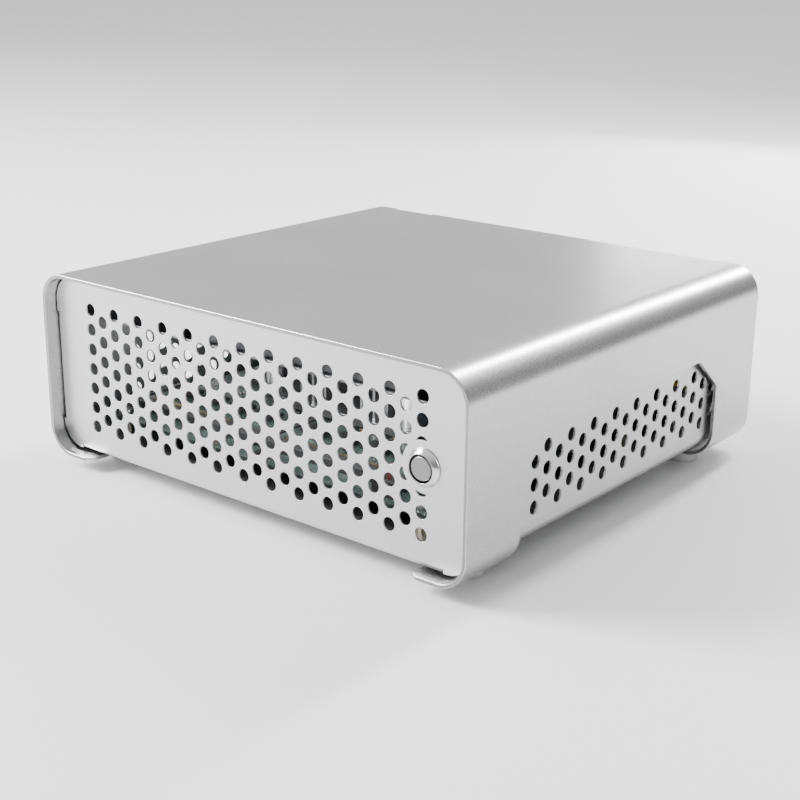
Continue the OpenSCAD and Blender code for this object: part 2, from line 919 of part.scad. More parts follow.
module display_ports() {
  color([0.75, 0.75, 0.76]) {
    difference() {
      port_block(hdmi_at, hdmi_size);
      port_space(hdmi_at, 0.6, 11, 2, 9);
      port_space(hdmi_at, 1.9, 14, 3.2, 9);
    }
    translate([io_at(hdmi_at) - 5, port_y - 9.1, board_top + 3.2]) cube([10, 7.6, 1]);
    difference() {
      port_block(dp_at, dp_size);
      port_space(dp_at, 0.7, 16, 4.8, 9);
    }
    translate([io_at(dp_at) - 6, port_y - 9.1, board_top + 2.6]) cube([12, 7.6, 1.1]);
  }
}

module audio_jacks() {
  z = board_top + jack_size[1] / 2;
  color([0.12, 0.12, 0.12]) for (at = jack_at) {
    difference() {
      union() {
        translate([io_at(at) - jack_size[0] / 2, port_y - jack_size[2], board_top]) {
          cube([jack_size[0], jack_size[2] - 1.5, jack_size[1]]);
        }
        rod_y([io_at(at), port_y - 1.6, z], 8, 1.6);
      }
      rod_y([io_at(at), port_y - 12, z], jack_bore_d, 13);
    }
  }
}

// Openings in the shield that match the connectors
module shield_openings() {
  for (at = usb_at) port_opening(at, usb_size);
  port_opening(lan_at, lan_size);
  port_opening(hdmi_at, hdmi_size);
  port_opening(dp_at, dp_size);
  for (at = jack_at) {
    translate([io_at(at), board_top + jack_size[1] / 2]) circle(d = 8 + 2 * port_fit);
  }
}
module port_opening(at, size) {
  translate([io_at(at) - size[0] / 2 - port_fit, board_top - port_fit]) {
    square([size[0] + 2 * port_fit, size[1] + 2 * port_fit]);
  }
}

module io_shield() {
  rim_x = 1.3;
  rim_z = 1.4;
  color([0.8, 0.8, 0.8]) {
    sheet_y(back_in, shield_t) difference() {
      translate([io_x - io_w / 2 + shield_fit, io_z + shield_fit]) {
        square([io_w - 2 * shield_fit, io_h - 2 * shield_fit]);
      }
      shield_openings();
    }
    sheet_y(back_in - shield_t, shield_t) difference() {
      translate([io_x - io_w / 2 - shield_lip, io_z - shield_lip]) {
        square([io_w + 2 * shield_lip, io_h + 2 * shield_lip]);
      }
      translate([io_x - io_w / 2 + rim_x, io_z + rim_z]) {
        square([io_w - 2 * rim_x, io_h - 2 * rim_z]);
      }
    }
  }
}

// ---------- processor and cooler ----------

module processor() {
  color([0.15, 0.3, 0.2]) {
    soft_box([cooler_x - chip_w / 2, cooler_y - chip_w / 2, board_top], [chip_w, chip_w, 0.9], 1);
  }
  color([0.6, 0.6, 0.6]) {
    soft_box([cooler_x - 7, cooler_y - 6, board_top + 0.9 - EPS], [14, 12, chip_t - 0.9 + EPS], 0.5);
  }
}

module thermal_pad() {
  color([0.6, 0.6, 0.65]) {
    soft_box([cooler_x - 8, cooler_y - 7, board_top + chip_t], [16, 14, pad_t], 0.5);
  }
}

// Finned block with four corner posts that reach down to the board
module heatsink() {
  gap = (fan_w - fin_t) / (fin_count - 1);
  color([0.8, 0.8, 0.82]) difference() {
    union() {
      soft_box([cooler_x - fan_w / 2, cooler_y - fan_w / 2, sink_z], [fan_w, fan_w, base_t], 2);
      for (i = [0:fin_count - 1]) {
        translate([cooler_x - fan_w / 2 + i * gap, cooler_y - fan_w / 2 + 2, fin_z - EPS]) {
          cube([fin_t, fan_w - 4, fin_h + EPS]);
        }
      }
      at_cooler_holes(board_top) cylinder(d = post_d, h = fan_z - board_top);
    }
    at_cooler_holes(board_top - 1) cylinder(d = screw_d, h = fan_z - board_top + 2);
  }
}

module cooler_backplate() {
  w = 2 * cooler_hole + post_d;
  color([0.3, 0.3, 0.32]) difference() {
    soft_box([cooler_x - w / 2, cooler_y - w / 2, board_z - backplate_t], [w, w, backplate_t], 4);
    soft_box([cooler_x - w / 2 + 14, cooler_y - w / 2 + 14, board_z - backplate_t - 1],
      [w - 28, w - 28, backplate_t + 2], 6);
    at_cooler_holes(board_z - backplate_t - 1) cylinder(d = screw_d, h = backplate_t + 2);
  }
}

module cooler_screws() {
  head = 2;
  z = board_z - backplate_t - head;
  color([0.25, 0.25, 0.27]) at_cooler_holes(z) difference() {
    union() {
      cylinder(d = screw_head_d, h = head);
      cylinder(d = screw_d, h = board_top + 8 - z);
    }
    for (a = [0, 90]) {
      rotate(a) translate([-1.6, -0.35, -1]) cube([3.2, 0.7, 1.8]);
    }
  }
}

// Outline of the fan's frame: a square ring with four screw holes
module fan_ring_outline() {
  difference() {
    translate([0, -fan_w / 2]) round_rect(fan_w, fan_w, 4);
    circle(d = fan_bore_d);
    for (sx = [-1, 1]) {
      for (sy = [-1, 1]) {
        translate([sx * cooler_hole, sy * cooler_hole]) circle(d = screw_d + 0.4);
      }
    }
  }
}

module fan_frame() {
  strut_w = 3.6;
  color([0.08, 0.08, 0.09]) translate([cooler_x, cooler_y, fan_z]) {
    linear_extrude(fan_t) fan_ring_outline();
    difference() {
      union() {
        linear_extrude(hub_base_t) {
          circle(d = hub_d - 2);
          for (a = [0, 90]) {
            rotate(a) translate([-fan_bore_d / 2 - 0.5, -strut_w / 2]) square([fan_bore_d + 1, strut_w]);
          }
        }
        cylinder(d = boss_d, h = boss_h);
      }
      translate([0, 0, 1]) cylinder(d = fan_shaft_d + 2 * shaft_fit, h = fan_t);
    }
  }
}

module fan_stator() {
  teeth = 4;
  color([0.6, 0.35, 0.15]) translate([cooler_x, cooler_y, fan_z + hub_base_t]) {
    difference() {
      union() {
        cylinder(d = 14, h = 6);
        for (k = [0:teeth - 1]) {
          rotate(360 * k / teeth) translate([4.5, -2.5, 0.5]) cube([7.2, 5, 5]);
        }
        difference() {
          cylinder(d = hub_d - 2 * hub_wall - 3, h = 3.5);
          translate([0, 0, -1]) cylinder(d = hub_d - 2 * hub_wall - 9, h = 6);
        }
      }
      translate([0, 0, -1]) cylinder(d = boss_d, h = 9);
    }
  }
}

// Hub cup, shaft and blades that turn together
module fan_rotor() {
  cup_z = hub_base_t + rotor_gap;
  cup_h = fan_t - cup_z - 0.8;
  blade_l = (fan_bore_d - hub_d) / 2 - blade_tip_gap;
  color([0.1, 0.1, 0.11]) translate([cooler_x, cooler_y, fan_z]) {
    translate([0, 0, cup_z]) difference() {
      cylinder(d = hub_d, h = cup_h);
      translate([0, 0, -1]) cylinder(d = hub_d - 2 * hub_wall, h = cup_h - 0.2);
    }
    translate([0, 0, 1.6]) cylinder(d = fan_shaft_d, h = fan_t - 3);
    intersection() {
      difference() {
        translate([0, 0, cup_z]) cylinder(r = fan_bore_d / 2 - blade_tip_gap, h = cup_h - 0.6);
        cylinder(d = hub_d - hub_wall, h = fan_t);
      }
      for (k = [0:blade_count - 1]) {
        rotate(360 * k / blade_count) translate([hub_d / 2 - 1, 0, cup_z + cup_h / 2]) {
          rotate([blade_tilt, 0, 0]) translate([0, -16, -blade_t / 2]) {
            cube([blade_l + 6, 32, blade_t]);
          }
        }
      }
    }
  }
}

module fan_screws() {
  color([0.7, 0.7, 0.7]) at_cooler_holes(0) difference() {
    union() {
      translate([0, 0, fan_z + fan_t]) cylinder(d = screw_head_d, h = screw_head_t);
      translate([0, 0, fan_z - 8]) cylinder(d = screw_d, h = fan_t + 8);
    }
    for (a = [0, 90]) {
      rotate(a) translate([-1.6, -0.35, fan_z + fan_t + screw_head_t - 0.9]) cube([3.2, 0.7, 2]);
    }
  }
}

module fan_lead() {
  x0 = cooler_x + fan_w / 2;
  path = smooth([
    [x0, cooler_y + 20, fan_z + 4],
    [x0 + 1, cooler_y + 20, fan_z + 4],
    [x0 + 2.5, cooler_y + 20, fan_z + 4],
    [x0 + 4, cooler_y + 27, fan_z - 2],
    [x0 + 2, cooler_y + 38, fan_z - 12],
    [fan_header_x, fan_header_y, board_top + header_h + 5],
    [fan_header_x, fan_header_y, board_top + header_h + 1],
    [fan_header_x, fan_header_y, board_top + header_h]
  ], 5);
  color([0.05, 0.05, 0.05]) tube(path, lead_d);
}

// ---------- memory, flash, slot and small parts ----------

module memory_sockets() {
  arm_l = mem_w - 4;
  color([0.15, 0.15, 0.15]) for (x = mem_x) {
    difference() {
      union() {
        translate([x - mem_socket_l / 2, mem_y, board_top]) {
          cube([mem_socket_l, mem_socket_d, mem_socket_h]);
        }
        for (s = [-1, 1]) {
          translate([x + s * (mem_socket_l / 2 - 1.2) - 1.2, mem_y, board_top]) {
            cube([2.4, mem_socket_d + arm_l, mem_socket_h]);
          }
        }
      }
      translate([x - mem_l / 2, mem_y + 2, board_top + mem_lift]) {
        cube([mem_l, mem_socket_d, mem_t]);
      }
    }
  }
}

module memory_module(x) {
  color([0.1, 0.3, 0.15]) {
    translate([x - mem_l / 2, mem_y + 2, board_top + mem_lift]) cube([mem_l, mem_w, mem_t]);
  }
  color([0.08, 0.08, 0.08]) for (k = [0:3]) {
    translate([x - 28 + k * 15.5, mem_y + 12, board_top + mem_lift + mem_t - EPS]) {
      cube([9.5, 13, 1 + EPS]);
    }
  }
}
module memory_module_a() memory_module(mem_x[0]);
module memory_module_b() memory_module(mem_x[1]);

module flash_socket() {
  color([0.12, 0.12, 0.12]) difference() {
    translate([flash_x - 11, flash_y - 4, board_top]) cube([22, 8, 4.2]);
    translate([flash_x - flash_w / 2 - 0.1, flash_y, board_top + flash_lift]) {
      cube([flash_w + 0.2, 8, flash_t]);
    }
  }
}

module flash_card() {
  color([0.1, 0.2, 0.35]) difference() {
    translate([flash_x - flash_w / 2, flash_y, board_top + flash_lift]) {
      cube([flash_w, flash_l, flash_t]);
    }
    translate([flash_x, flash_y + flash_l, board_top]) cylinder(d = 4, h = 9);
  }
  color([0.08, 0.08, 0.08]) for (k = [0, 1, 2]) {
    translate([flash_x - 6.5, flash_y + 12 + 19 * k, board_top + flash_lift + flash_t - EPS]) {
      cube([13, 15, 1.1 + EPS]);
    }
  }
}

// Screw and its spacer that hold the free end of the flash card
module flash_screw() {
  color([0.75, 0.7, 0.55]) translate([flash_x, flash_y + flash_l, board_z]) {
    cylinder(d = 2, h = board_t + flash_lift + flash_t);
    translate([0, 0, board_t]) cylinder(d = 5, h = flash_lift);
    translate([0, 0, board_t + flash_lift]) cylinder(d = 4, h = flash_t);
    translate([0, 0, board_t + flash_lift + flash_t]) cylinder(d = 5.5, h = 0.9);
  }
}

module expansion_slot() {
  color([0.1, 0.1, 0.1]) difference() {
    soft_box([slot_x - slot_w / 2, slot_y, board_top], [slot_w, slot_l, slot_h], 1);
    translate([slot_x - 0.9, slot_y + 3, board_top + 3]) cube([1.8, slot_l - 6, slot_h]);
  }
}

module sata_sockets() {
  color([0.1, 0.1, 0.12]) for (x = sata_x) {
    difference() {
      translate([x - sata_size[0] / 2, sata_y - sata_size[1] / 2, board_top]) cube(sata_size);
      translate([x - 1, sata_y - 4.5, board_top + 3]) cube([2, 9, 9]);
    }
  }
}

module pin_header(x, y, w, d) {
  translate([x - w / 2, y - d / 2, board_top]) cube([w, d, header_h]);
}
module pin_headers() {
  color([0.12, 0.12, 0.12]) {
    pin_header(switch_header_x, header_y, 10, 5);
    pin_header(fan_header_x, fan_header_y, 10, 6);
    pin_header(dc_header_x, dc_header_y, 9.6, 9.6);
    pin_header(drive_header_x, drive_header_y, 10, 5);
  }
}

module chokes() {
  color([0.3, 0.3, 0.31]) for (k = [0:4]) {
    soft_box([cooler_x - fan_w / 2 - 11, cooler_y - 32 + 13 * k, board_top],
      [choke_w, choke_w, choke_h], 0.8);
  }
}

module capacitors() {
  y = cooler_y + fan_w / 2 + 9;
  color([0.7, 0.7, 0.72]) for (k = [0:3]) {
    translate([cooler_x - 30 + 14 * k, y, board_top]) {
      cylinder(d = cap_d, h = cap_h - 0.5);
      translate([0, 0, cap_h - 0.5]) cylinder(d1 = cap_d, d2 = cap_d - 1, h = 0.5);
    }
  }
}

module board_chips() {
  color([0.07, 0.07, 0.07]) {
    soft_box([cell_x - 6, cell_y - 34, board_top], [12, 12, 1.2], 0.4);
    soft_box([board_right - 22, board_rear - 40, board_top], [8, 8, 1], 0.4);
    soft_box([cell_x - 8, cell_y - 58, board_top], [14, 14, 1.4], 0.4);
    soft_box([board_left + 82, board_front + 3, board_top], [7, 5, 1.6], 0.3);
  }
}

module cell_holder() {
  color([0.1, 0.1, 0.1]) translate([cell_x, cell_y, board_top]) difference() {
    cylinder(d = cell_d + 3, h = 4.4);
    translate([0, 0, 1.2]) cylinder(d = cell_d + 0.2, h = 9);
    translate([cell_d / 2 - 3, -3, 1.2]) cube([9, 6, 9]);
  }
}

module coin_cell() {
  color([0.8, 0.8, 0.8]) translate([cell_x, cell_y, board_top + 1.2]) {
    cylinder(d = cell_d, h = cell_t - 0.5);
    translate([0, 0, cell_t - 0.5]) cylinder(d = cell_d - 2.5, h = 0.5);
  }
}

// ---------- storage drive ----------

// Shelf across the tray with a lug folded up at each end of both edges
module drive_bracket() {
  lug_t = bracket_t;
  color([0.72, 0.72, 0.73]) difference() {
    union() {
      translate([-tray_in, bracket_front, bracket_z]) cube([2 * tray_in, bracket_d, bracket_t]);
      both_sides() {
        for (y = bracket_screw_y) {
          translate([tray_in - lug_t, y - bracket_lug_l / 2, bracket_z]) {
            cube([lug_t, bracket_lug_l, bracket_lug_h]);
          }
        }
      }
    }
    for (y = bracket_screw_y) {
      rod_x([-tray_in - 1, y, bracket_screw_z], bracket_screw_d, 2 * tray_in + 2);
    }
    at_drive_holes(bracket_z - 1) cylinder(d = screw_d, h = bracket_t + 2);
    for (k = [0:5]) {
      soft_box([drive_x0 + 17 + 12 * k, drive_y0 + 14, bracket_z - 1], [6, drive_w - 28, bracket_t + 2], 2.9);
    }
    soft_box([plug_x + 6, drive_y0 + 6, bracket_z - 1], [tray_in - plug_x - 14, 50, bracket_t + 2], 3);
  }
}

module bracket_screws() {
  color([0.75, 0.75, 0.76]) both_sides() {
    for (y = bracket_screw_y) {
      difference() {
        union() {
          rod_x([tray_in - bracket_t - 2, y, bracket_screw_z], bracket_screw_d, bracket_t + sheet_t + 2);
          rod_x([tray_half, y, bracket_screw_z], screw_head_d, bracket_head_t);
        }
        translate([tray_half + bracket_head_t - 0.6, y - 1.6, bracket_screw_z - 0.35]) cube([2, 3.2, 0.7]);
        translate([tray_half + bracket_head_t - 0.6, y - 0.35, bracket_screw_z - 1.6]) cube([2, 0.7, 3.2]);
      }
    }
  }
}

module at_drive_holes(z) {
  for (x = drive_hole_x) {
    for (y = drive_hole_y) {
      translate([drive_x0 + x, drive_y0 + y, z]) children();
    }
  }
}

module storage_drive() {
  color([0.2, 0.2, 0.22]) difference() {
    soft_box([drive_x0, drive_y0, drive_z], [drive_l, drive_w, drive_t], 2);
    at_drive_holes(drive_z - 1) cylinder(d = screw_d, h = 4.5);
    translate([plug_x - 5, drive_y0 + 10, drive_z + 1]) cube([6, 42, drive_plug_t]);
  }
}

module drive_screws() {
  color([0.75, 0.75, 0.76]) at_drive_holes(bracket_z - 1.6) difference() {
    union() {
      cylinder(d = screw_head_d, h = 1.6);
      cylinder(d = screw_d, h = 1.6 + bracket_t + 3);
    }
    for (a = [0, 90]) {
      rotate(a) translate([-1.6, -0.35, -1]) cube([3.2, 0.7, 1.7]);
    }
  }
}

// Plug at the drive and plug at the board, joined by a lead; via holds the
// hand-placed points between the two
module drive_lead(y, w, x, y_board, board_plug, via) {
  h = drive_plug_t - 0.4;
  z = drive_z + 1.2;
  out = plug_x + drive_plug_l;
  top = board_plug[3] + board_plug[2];
  y_lead = drive_y0 + y + w / 2;
  color([0.08, 0.08, 0.09]) {
    translate([plug_x - 4.8, drive_y0 + y, z]) cube([drive_plug_l + 4.8, w, h]);
    translate([x - board_plug[0] / 2, y_board - board_plug[1] / 2, board_plug[3]]) {
      cube([board_plug[0], board_plug[1], board_plug[2]]);
    }
    tube(smooth(concat(
      [[out, y_lead, z + h / 2], [out + 1, y_lead, z + h / 2], [out + 3, y_lead, z + h / 2]],
      via,
      [[x, y_board, top + 5], [x, y_board, top + 1], [x, y_board, top]]
    ), 4), lead_d);
  }
}

module sata_lead() {
  y = drive_y0 + 18;
  x = plug_x + drive_plug_l;
  plug = [4.6, 11.6, 6, board_top + sata_size[2]];
  drive_lead(12, 12, sata_x[1], sata_y, plug, [
    [x + 7, y + 3, drive_z - 3], [x + 6, y + 8, drive_z - 12], [x, y + 9, drive_z - 19]
  ]);
}

module drive_power_lead() {
  y = drive_y0 + 38;
  x = plug_x + drive_plug_l;
  plug = [9.6, 4.6, 5, board_top + header_h];
  drive_lead(27, 22, drive_header_x, drive_header_y, plug, [
    [x + 7, y, drive_z - 3], [x + 7, y - 2, drive_z - 14], [x + 2, y - 8, drive_z - 22]
  ]);
}

// ---------- power inlet ----------

module dc_inlet() {
  color([0.08, 0.08, 0.08]) {
    difference() {
      union() {
        rod_y([inlet_x, back_y, inlet_z], inlet_flange_d, inlet_flange_t);
        rod_y([inlet_x, back_y - inlet_l, inlet_z], inlet_d, inlet_l + EPS);
      }
      rod_y([inlet_x, back_y + inlet_flange_t - inlet_bore_l, inlet_z], inlet_bore_d, inlet_bore_l + 1);
    }
    rod_y([inlet_x, back_y + inlet_flange_t - inlet_bore_l - 1, inlet_z], inlet_pin_d, inlet_bore_l);
  }
}

module dc_inlet_nut() {
  color([0.75, 0.75, 0.76]) {
    nut_y([inlet_x, back_in - inlet_nut_t, inlet_z], inlet_nut_d, inlet_nut_t, inlet_d);
  }
}

module dc_lead() {
  y0 = back_y - inlet_l;
  for (s = [-1, 1]) {
    path = smooth([
      [inlet_x + s * 2, y0, inlet_z],
      [inlet_x + s * 2, y0 - 1, inlet_z],
      [inlet_x + s * 2, y0 - 5, inlet_z],
      [inlet_x + s * 2 - 2, y0 - 9, inlet_z + 3],
      [inlet_x + s * 2 - 9, dc_header_y + 1, board_top + header_h + 13],
      [dc_header_x + s * 2, dc_header_y, board_top + header_h + 6],
      [dc_header_x + s * 2, dc_header_y, board_top + header_h + 1],
      [dc_header_x + s * 2, dc_header_y, board_top + header_h]
    ], 5);
    color(s < 0 ? [0.05, 0.05, 0.05] : [0.7, 0.6, 0.1]) tube(path, lead_d);
  }
}

cover();
foot_pads();
thumbscrew_left();
thumbscrew_right();
tray();
front_panel();
rear_panel();
rivets();
rivet_nuts();
switch_housing();
switch_button();
switch_spring();
switch_nut();
switch_base();
switch_lead();
standoffs();
mainboard();
board_screws();
io_shield();
usb_ports();
lan_port();
display_ports();
audio_jacks();
processor();
thermal_pad();
heatsink();
cooler_backplate();
cooler_screws();
fan_frame();
fan_stator();
fan_rotor();
fan_screws();
fan_lead();
memory_sockets();
memory_module_a();
memory_module_b();
flash_socket();
flash_card();
flash_screw();
expansion_slot();
sata_sockets();
pin_headers();
chokes();
capacitors();
board_chips();
cell_holder();
coin_cell();
drive_bracket();
bracket_screws();
storage_drive();
drive_screws();
sata_lead();
drive_power_lead();
dc_inlet();
dc_inlet_nut();
dc_lead();
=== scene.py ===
import bmesh
import bpy
import math
import random
from mathutils import Matrix, Vector


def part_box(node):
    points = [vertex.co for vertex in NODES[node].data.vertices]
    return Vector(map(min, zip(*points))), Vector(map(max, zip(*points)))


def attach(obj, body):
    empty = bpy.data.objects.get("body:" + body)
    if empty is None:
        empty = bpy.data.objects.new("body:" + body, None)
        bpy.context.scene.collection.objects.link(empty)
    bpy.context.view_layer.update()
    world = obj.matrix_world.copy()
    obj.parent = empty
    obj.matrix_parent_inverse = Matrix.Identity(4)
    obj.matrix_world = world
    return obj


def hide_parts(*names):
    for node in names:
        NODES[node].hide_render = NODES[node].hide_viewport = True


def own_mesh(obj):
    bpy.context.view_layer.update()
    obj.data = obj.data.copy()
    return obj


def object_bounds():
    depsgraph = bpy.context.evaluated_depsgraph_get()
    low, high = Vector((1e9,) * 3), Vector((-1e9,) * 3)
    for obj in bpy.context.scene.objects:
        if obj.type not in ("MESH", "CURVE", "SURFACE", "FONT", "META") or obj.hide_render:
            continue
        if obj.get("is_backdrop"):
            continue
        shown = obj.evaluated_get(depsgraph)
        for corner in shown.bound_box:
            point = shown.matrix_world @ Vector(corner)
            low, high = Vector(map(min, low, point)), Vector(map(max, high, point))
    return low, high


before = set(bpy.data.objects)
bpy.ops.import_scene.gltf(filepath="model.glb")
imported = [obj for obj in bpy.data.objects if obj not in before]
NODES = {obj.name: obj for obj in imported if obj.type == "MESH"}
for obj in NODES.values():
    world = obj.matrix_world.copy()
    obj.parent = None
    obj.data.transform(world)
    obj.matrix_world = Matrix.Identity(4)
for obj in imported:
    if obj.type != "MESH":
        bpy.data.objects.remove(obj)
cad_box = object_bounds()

MM = 0.001


# ---------- camera, floor and light ----------

# Where the camera stands, as seen from the middle of the machine
CAMERA_TARGET = Vector((0.0003, -0.0062, 0.0253))
CAMERA_AZIMUTH = math.radians(39.32)
CAMERA_ELEVATION = math.radians(18.15)
CAMERA_ROLL = math.radians(0.55)
CAMERA_DISTANCE = 0.5871
CAMERA_LENS = 64.6


def direction(azimuth, elevation):
    """The way out from the machine, 0 being the front and +90 the right."""
    flat = math.cos(elevation)
    return Vector((math.sin(azimuth) * flat, -math.cos(azimuth) * flat, math.sin(elevation)))


def facing(out, roll=0.0):
    """A rotation whose -Z looks back along out, with +Y upwards."""
    return out.to_track_quat("Z", "Y").to_matrix().to_4x4() @ Matrix.Rotation(roll, 4, "Z")


def add_camera():
    data = bpy.data.cameras.new("camera")
    data.lens = CAMERA_LENS
    data.sensor_width = 36.0
    camera = bpy.data.objects.new("camera", data)
    bpy.context.scene.collection.objects.link(camera)
    out = direction(CAMERA_AZIMUTH, CAMERA_ELEVATION)
    place = Matrix.Translation(CAMERA_TARGET + CAMERA_DISTANCE * out)
    camera.matrix_world = place @ facing(out, CAMERA_ROLL)
    bpy.context.scene.camera = camera


def add_softbox(name, azimuth, elevation, distance, size, watts):
    """A rectangular lamp at degrees and metres from the machine, turned towards it."""
    data = bpy.data.lights.new(name, "AREA")
    data.shape = "RECTANGLE"
    data.size, data.size_y = size
    data.energy = watts
    light = bpy.data.objects.new(name, data)
    light.visible_camera = False
    bpy.context.scene.collection.objects.link(light)
    out = direction(math.radians(azimuth), math.radians(elevation))
    light.matrix_world = Matrix.Translation(distance * out) @ facing(out)


def add_world(low, high, bright_way):
    """A plain studio, from the grey low away from bright_way to the grey high along it."""
    world = bpy.data.worlds.new("studio")
    bpy.context.scene.world = world
    world.use_nodes = True
    tree = world.node_tree
    place = tree.nodes.new("ShaderNodeTexCoord")
    along = tree.nodes.new("ShaderNodeVectorMath")
    along.operation = "DOT_PRODUCT"
    along.inputs[1].default_value = bright_way
    shade = tree.nodes.new("ShaderNodeMapRange")
    shade.interpolation_type = "SMOOTHSTEP"
    shade.inputs["From Min"].default_value = -0.1
    shade.inputs["From Max"].default_value = 0.8
    shade.inputs["To Min"].default_value = low
    shade.inputs["To Max"].default_value = high
    tree.links.new(place.outputs["Generated"], along.inputs[0])
    tree.links.new(along.outputs["Value"], shade.inputs["Value"])
    tree.links.new(shade.outputs["Result"], tree.nodes["Background"].inputs["Color"])


def add_floor(material):
    half = 6.0  # metres
    mesh = bpy.data.meshes.new("floor")
    corners = [(-half, -half, 0), (half, -half, 0), (half, half, 0), (-half, half, 0)]
    mesh.from_pydata(corners, [], [(0, 1, 2, 3)])
    floor = bpy.data.objects.new("floor", mesh)
    bpy.context.scene.collection.objects.link(floor)
    floor.data.materials.append(material)
    floor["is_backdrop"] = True


# ---------- materials ----------

class Paint:
    """One procedural material, with short calls for the nodes that feed it."""

    def __init__(self, name, colour, metallic=0.0, roughness=0.5, **constants):
        self.material = bpy.data.materials.new(name)
        self.material.use_nodes = True
        self.tree = self.material.node_tree
        self.shader = self.tree.nodes["Principled BSDF"]
        self.set("Base Color", (*colour, 1))
        self.set("Metallic", metallic)
        self.set("Roughness", roughness)
        for socket, value in constants.items():
            self.set(socket.replace("_", " "), value)
        self.colour = colour
        self.place = self.node("ShaderNodeTexCoord").outputs["Object"]

    def set(self, socket, value):
        self.shader.inputs[socket].default_value = value

    def node(self, kind, **settings):
        made = self.tree.nodes.new(kind)
        for key, value in settings.items():
            setattr(made, key, value)
        return made

    def feed(self, node, values):
        """Puts numbers or other nodes' outputs into a node's sockets."""
        for socket, value in values.items():
            if isinstance(value, bpy.types.NodeSocket):
                self.tree.links.new(value, node.inputs[socket])
            else:
                node.inputs[socket].default_value = value
        return node

    def stretched(self, stretch):
        mapping = self.node("ShaderNodeMapping")
        return self.feed(mapping, {"Vector": self.place, "Scale": stretch}).outputs["Vector"]

    def noise(self, size, detail=2.0, stretch=(1, 1, 1)):
        """Noise from 0 to 1 whose features are about size metres across."""
        node = self.node("ShaderNodeTexNoise")
        values = {"Vector": self.stretched(stretch), "Scale": 1 / size, "Detail": detail}
        return self.feed(node, values).outputs["Fac"]

    def cells(self, size, feature="F1"):
        """Distance from the middle, or from the edge, of cells about size metres across."""
        node = self.node("ShaderNodeTexVoronoi", feature=feature)
        return self.feed(node, {"Vector": self.place, "Scale": 1 / size}).outputs["Distance"]

    def math(self, operation, a, b):
        node = self.node("ShaderNodeMath", operation=operation)
        return self.feed(node, {0: a, 1: b}).outputs[0]

    def span(self, value, low, high, start=0.3, end=0.7):
        """Turns start..end into low..high."""
        node = self.node("ShaderNodeMapRange")
        limits = {"From Min": start, "From Max": end, "To Min": low, "To Max": high}
        return self.feed(node, {"Value": value, **limits}).outputs["Result"]

    def mix(self, share, a, b):
        node = self.node("ShaderNodeMix", data_type="RGBA")
        for socket, value in ((6, a), (7, b)):
            if not isinstance(value, bpy.types.NodeSocket):
                value = (*value, 1)
            self.feed(node, {socket: value})
        return self.feed(node, {0: share}).outputs[2]

    def tone(self, share, low, high):
        """The colour from low to high times its own brightness."""
        dark = tuple(low * c for c in self.colour)
        light = tuple(high * c for c in self.colour)
        self.feed(self.shader, {"Base Color": self.mix(share, dark, light)})

    def rough(self, value):
        self.feed(self.shader, {"Roughness": value})

    def bump(self, height, depth, strength=1.0):
        """Height from 0 to 1 stands for a relief of depth metres."""
        node = self.node("ShaderNodeBump")
        values = {"Height": height, "Distance": depth, "Strength": strength}
        if self.shader.inputs["Normal"].is_linked:
            values["Normal"] = self.shader.inputs["Normal"].links[0].from_socket
        self.feed(self.shader, {"Normal": self.feed(node, values).outputs["Normal"]})


def blasted_aluminium(name, colour, roughness=0.4, front_shade_tone=1.0):
    """Bead-blasted and anodised sheet: fine even grain and faint clouding. Edges that face
    the front get painted shade: the last argument scales their brightness."""
    p = Paint(name, colour, metallic=1.0, roughness=roughness)
    grain = p.noise(0.35 * MM, detail=2.0)
    cloud = p.noise(60 * MM, detail=3.0)
    both = p.math("ADD", p.math("MULTIPLY", grain, 0.75), p.math("MULTIPLY", cloud, 0.25))
    low, high = (tuple(k * c for c in colour) for k in (0.86, 1.14))
    tinted = p.mix(p.span(both, 0, 1, 0.35, 0.65), low, high)
    # Painted shade: faces that point to the front (normal Y near -1) are mixed to the darker tone;
    # cut is that mask
    normal = p.node("ShaderNodeSeparateXYZ")
    p.feed(normal, {"Vector": p.node("ShaderNodeTexCoord").outputs["Normal"]})
    cut = p.span(normal.outputs["Y"], 1, 0, -0.98, -0.9)
    p.feed(p.shader, {"Base Color": p.mix(cut, tinted, tuple(front_shade_tone * c for c in colour))})
    p.rough(p.span(grain, roughness - 0.05, roughness + 0.05))
    p.bump(grain, 0.035 * MM, 0.6)
    return p.material


def plated_metal(name, colour, roughness=0.3):
    """Plated or rolled metal with slight smears along the sheet."""
    p = Paint(name, colour, metallic=1.0, roughness=roughness)
    smear = p.noise(0.6 * MM, detail=3.0, stretch=(0.15, 1, 1))
    cloud = p.noise(9 * MM, detail=2.0)
    p.tone(cloud, 0.88, 1.08)
    p.rough(p.span(smear, roughness - 0.07, roughness + 0.09))
    p.bump(smear, 0.008 * MM, 0.4)
    return p.material


def turned_steel(name, colour, roughness):
    """Steel turned on a lathe about the switch's axis: fine rings."""
    ring_width = 0.12 * MM
    low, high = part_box("switch_housing")
    to_axis = (-(low.x + high.x) / 2, 0, -(low.z + high.z) / 2)
    p = Paint(name, colour, metallic=1.0, roughness=roughness)
    flat = p.node("ShaderNodeVectorMath", operation="MULTIPLY_ADD")
    p.feed(flat, {0: p.place, 1: (1, 0, 1), 2: to_axis})
    away = p.node("ShaderNodeVectorMath", operation="LENGTH")
    p.feed(away, {0: flat.outputs["Vector"]})
    rings = p.node("ShaderNodeTexNoise", noise_dimensions="1D")
    p.feed(rings, {"W": away.outputs["Value"], "Scale": 1 / ring_width, "Detail": 2.0})
    fac = rings.outputs["Fac"]
    p.tone(fac, 0.9, 1.08)
    p.rough(p.span(fac, roughness - 0.05, roughness + 0.06))
    p.bump(fac, 0.004 * MM, 0.5)
    return p.material


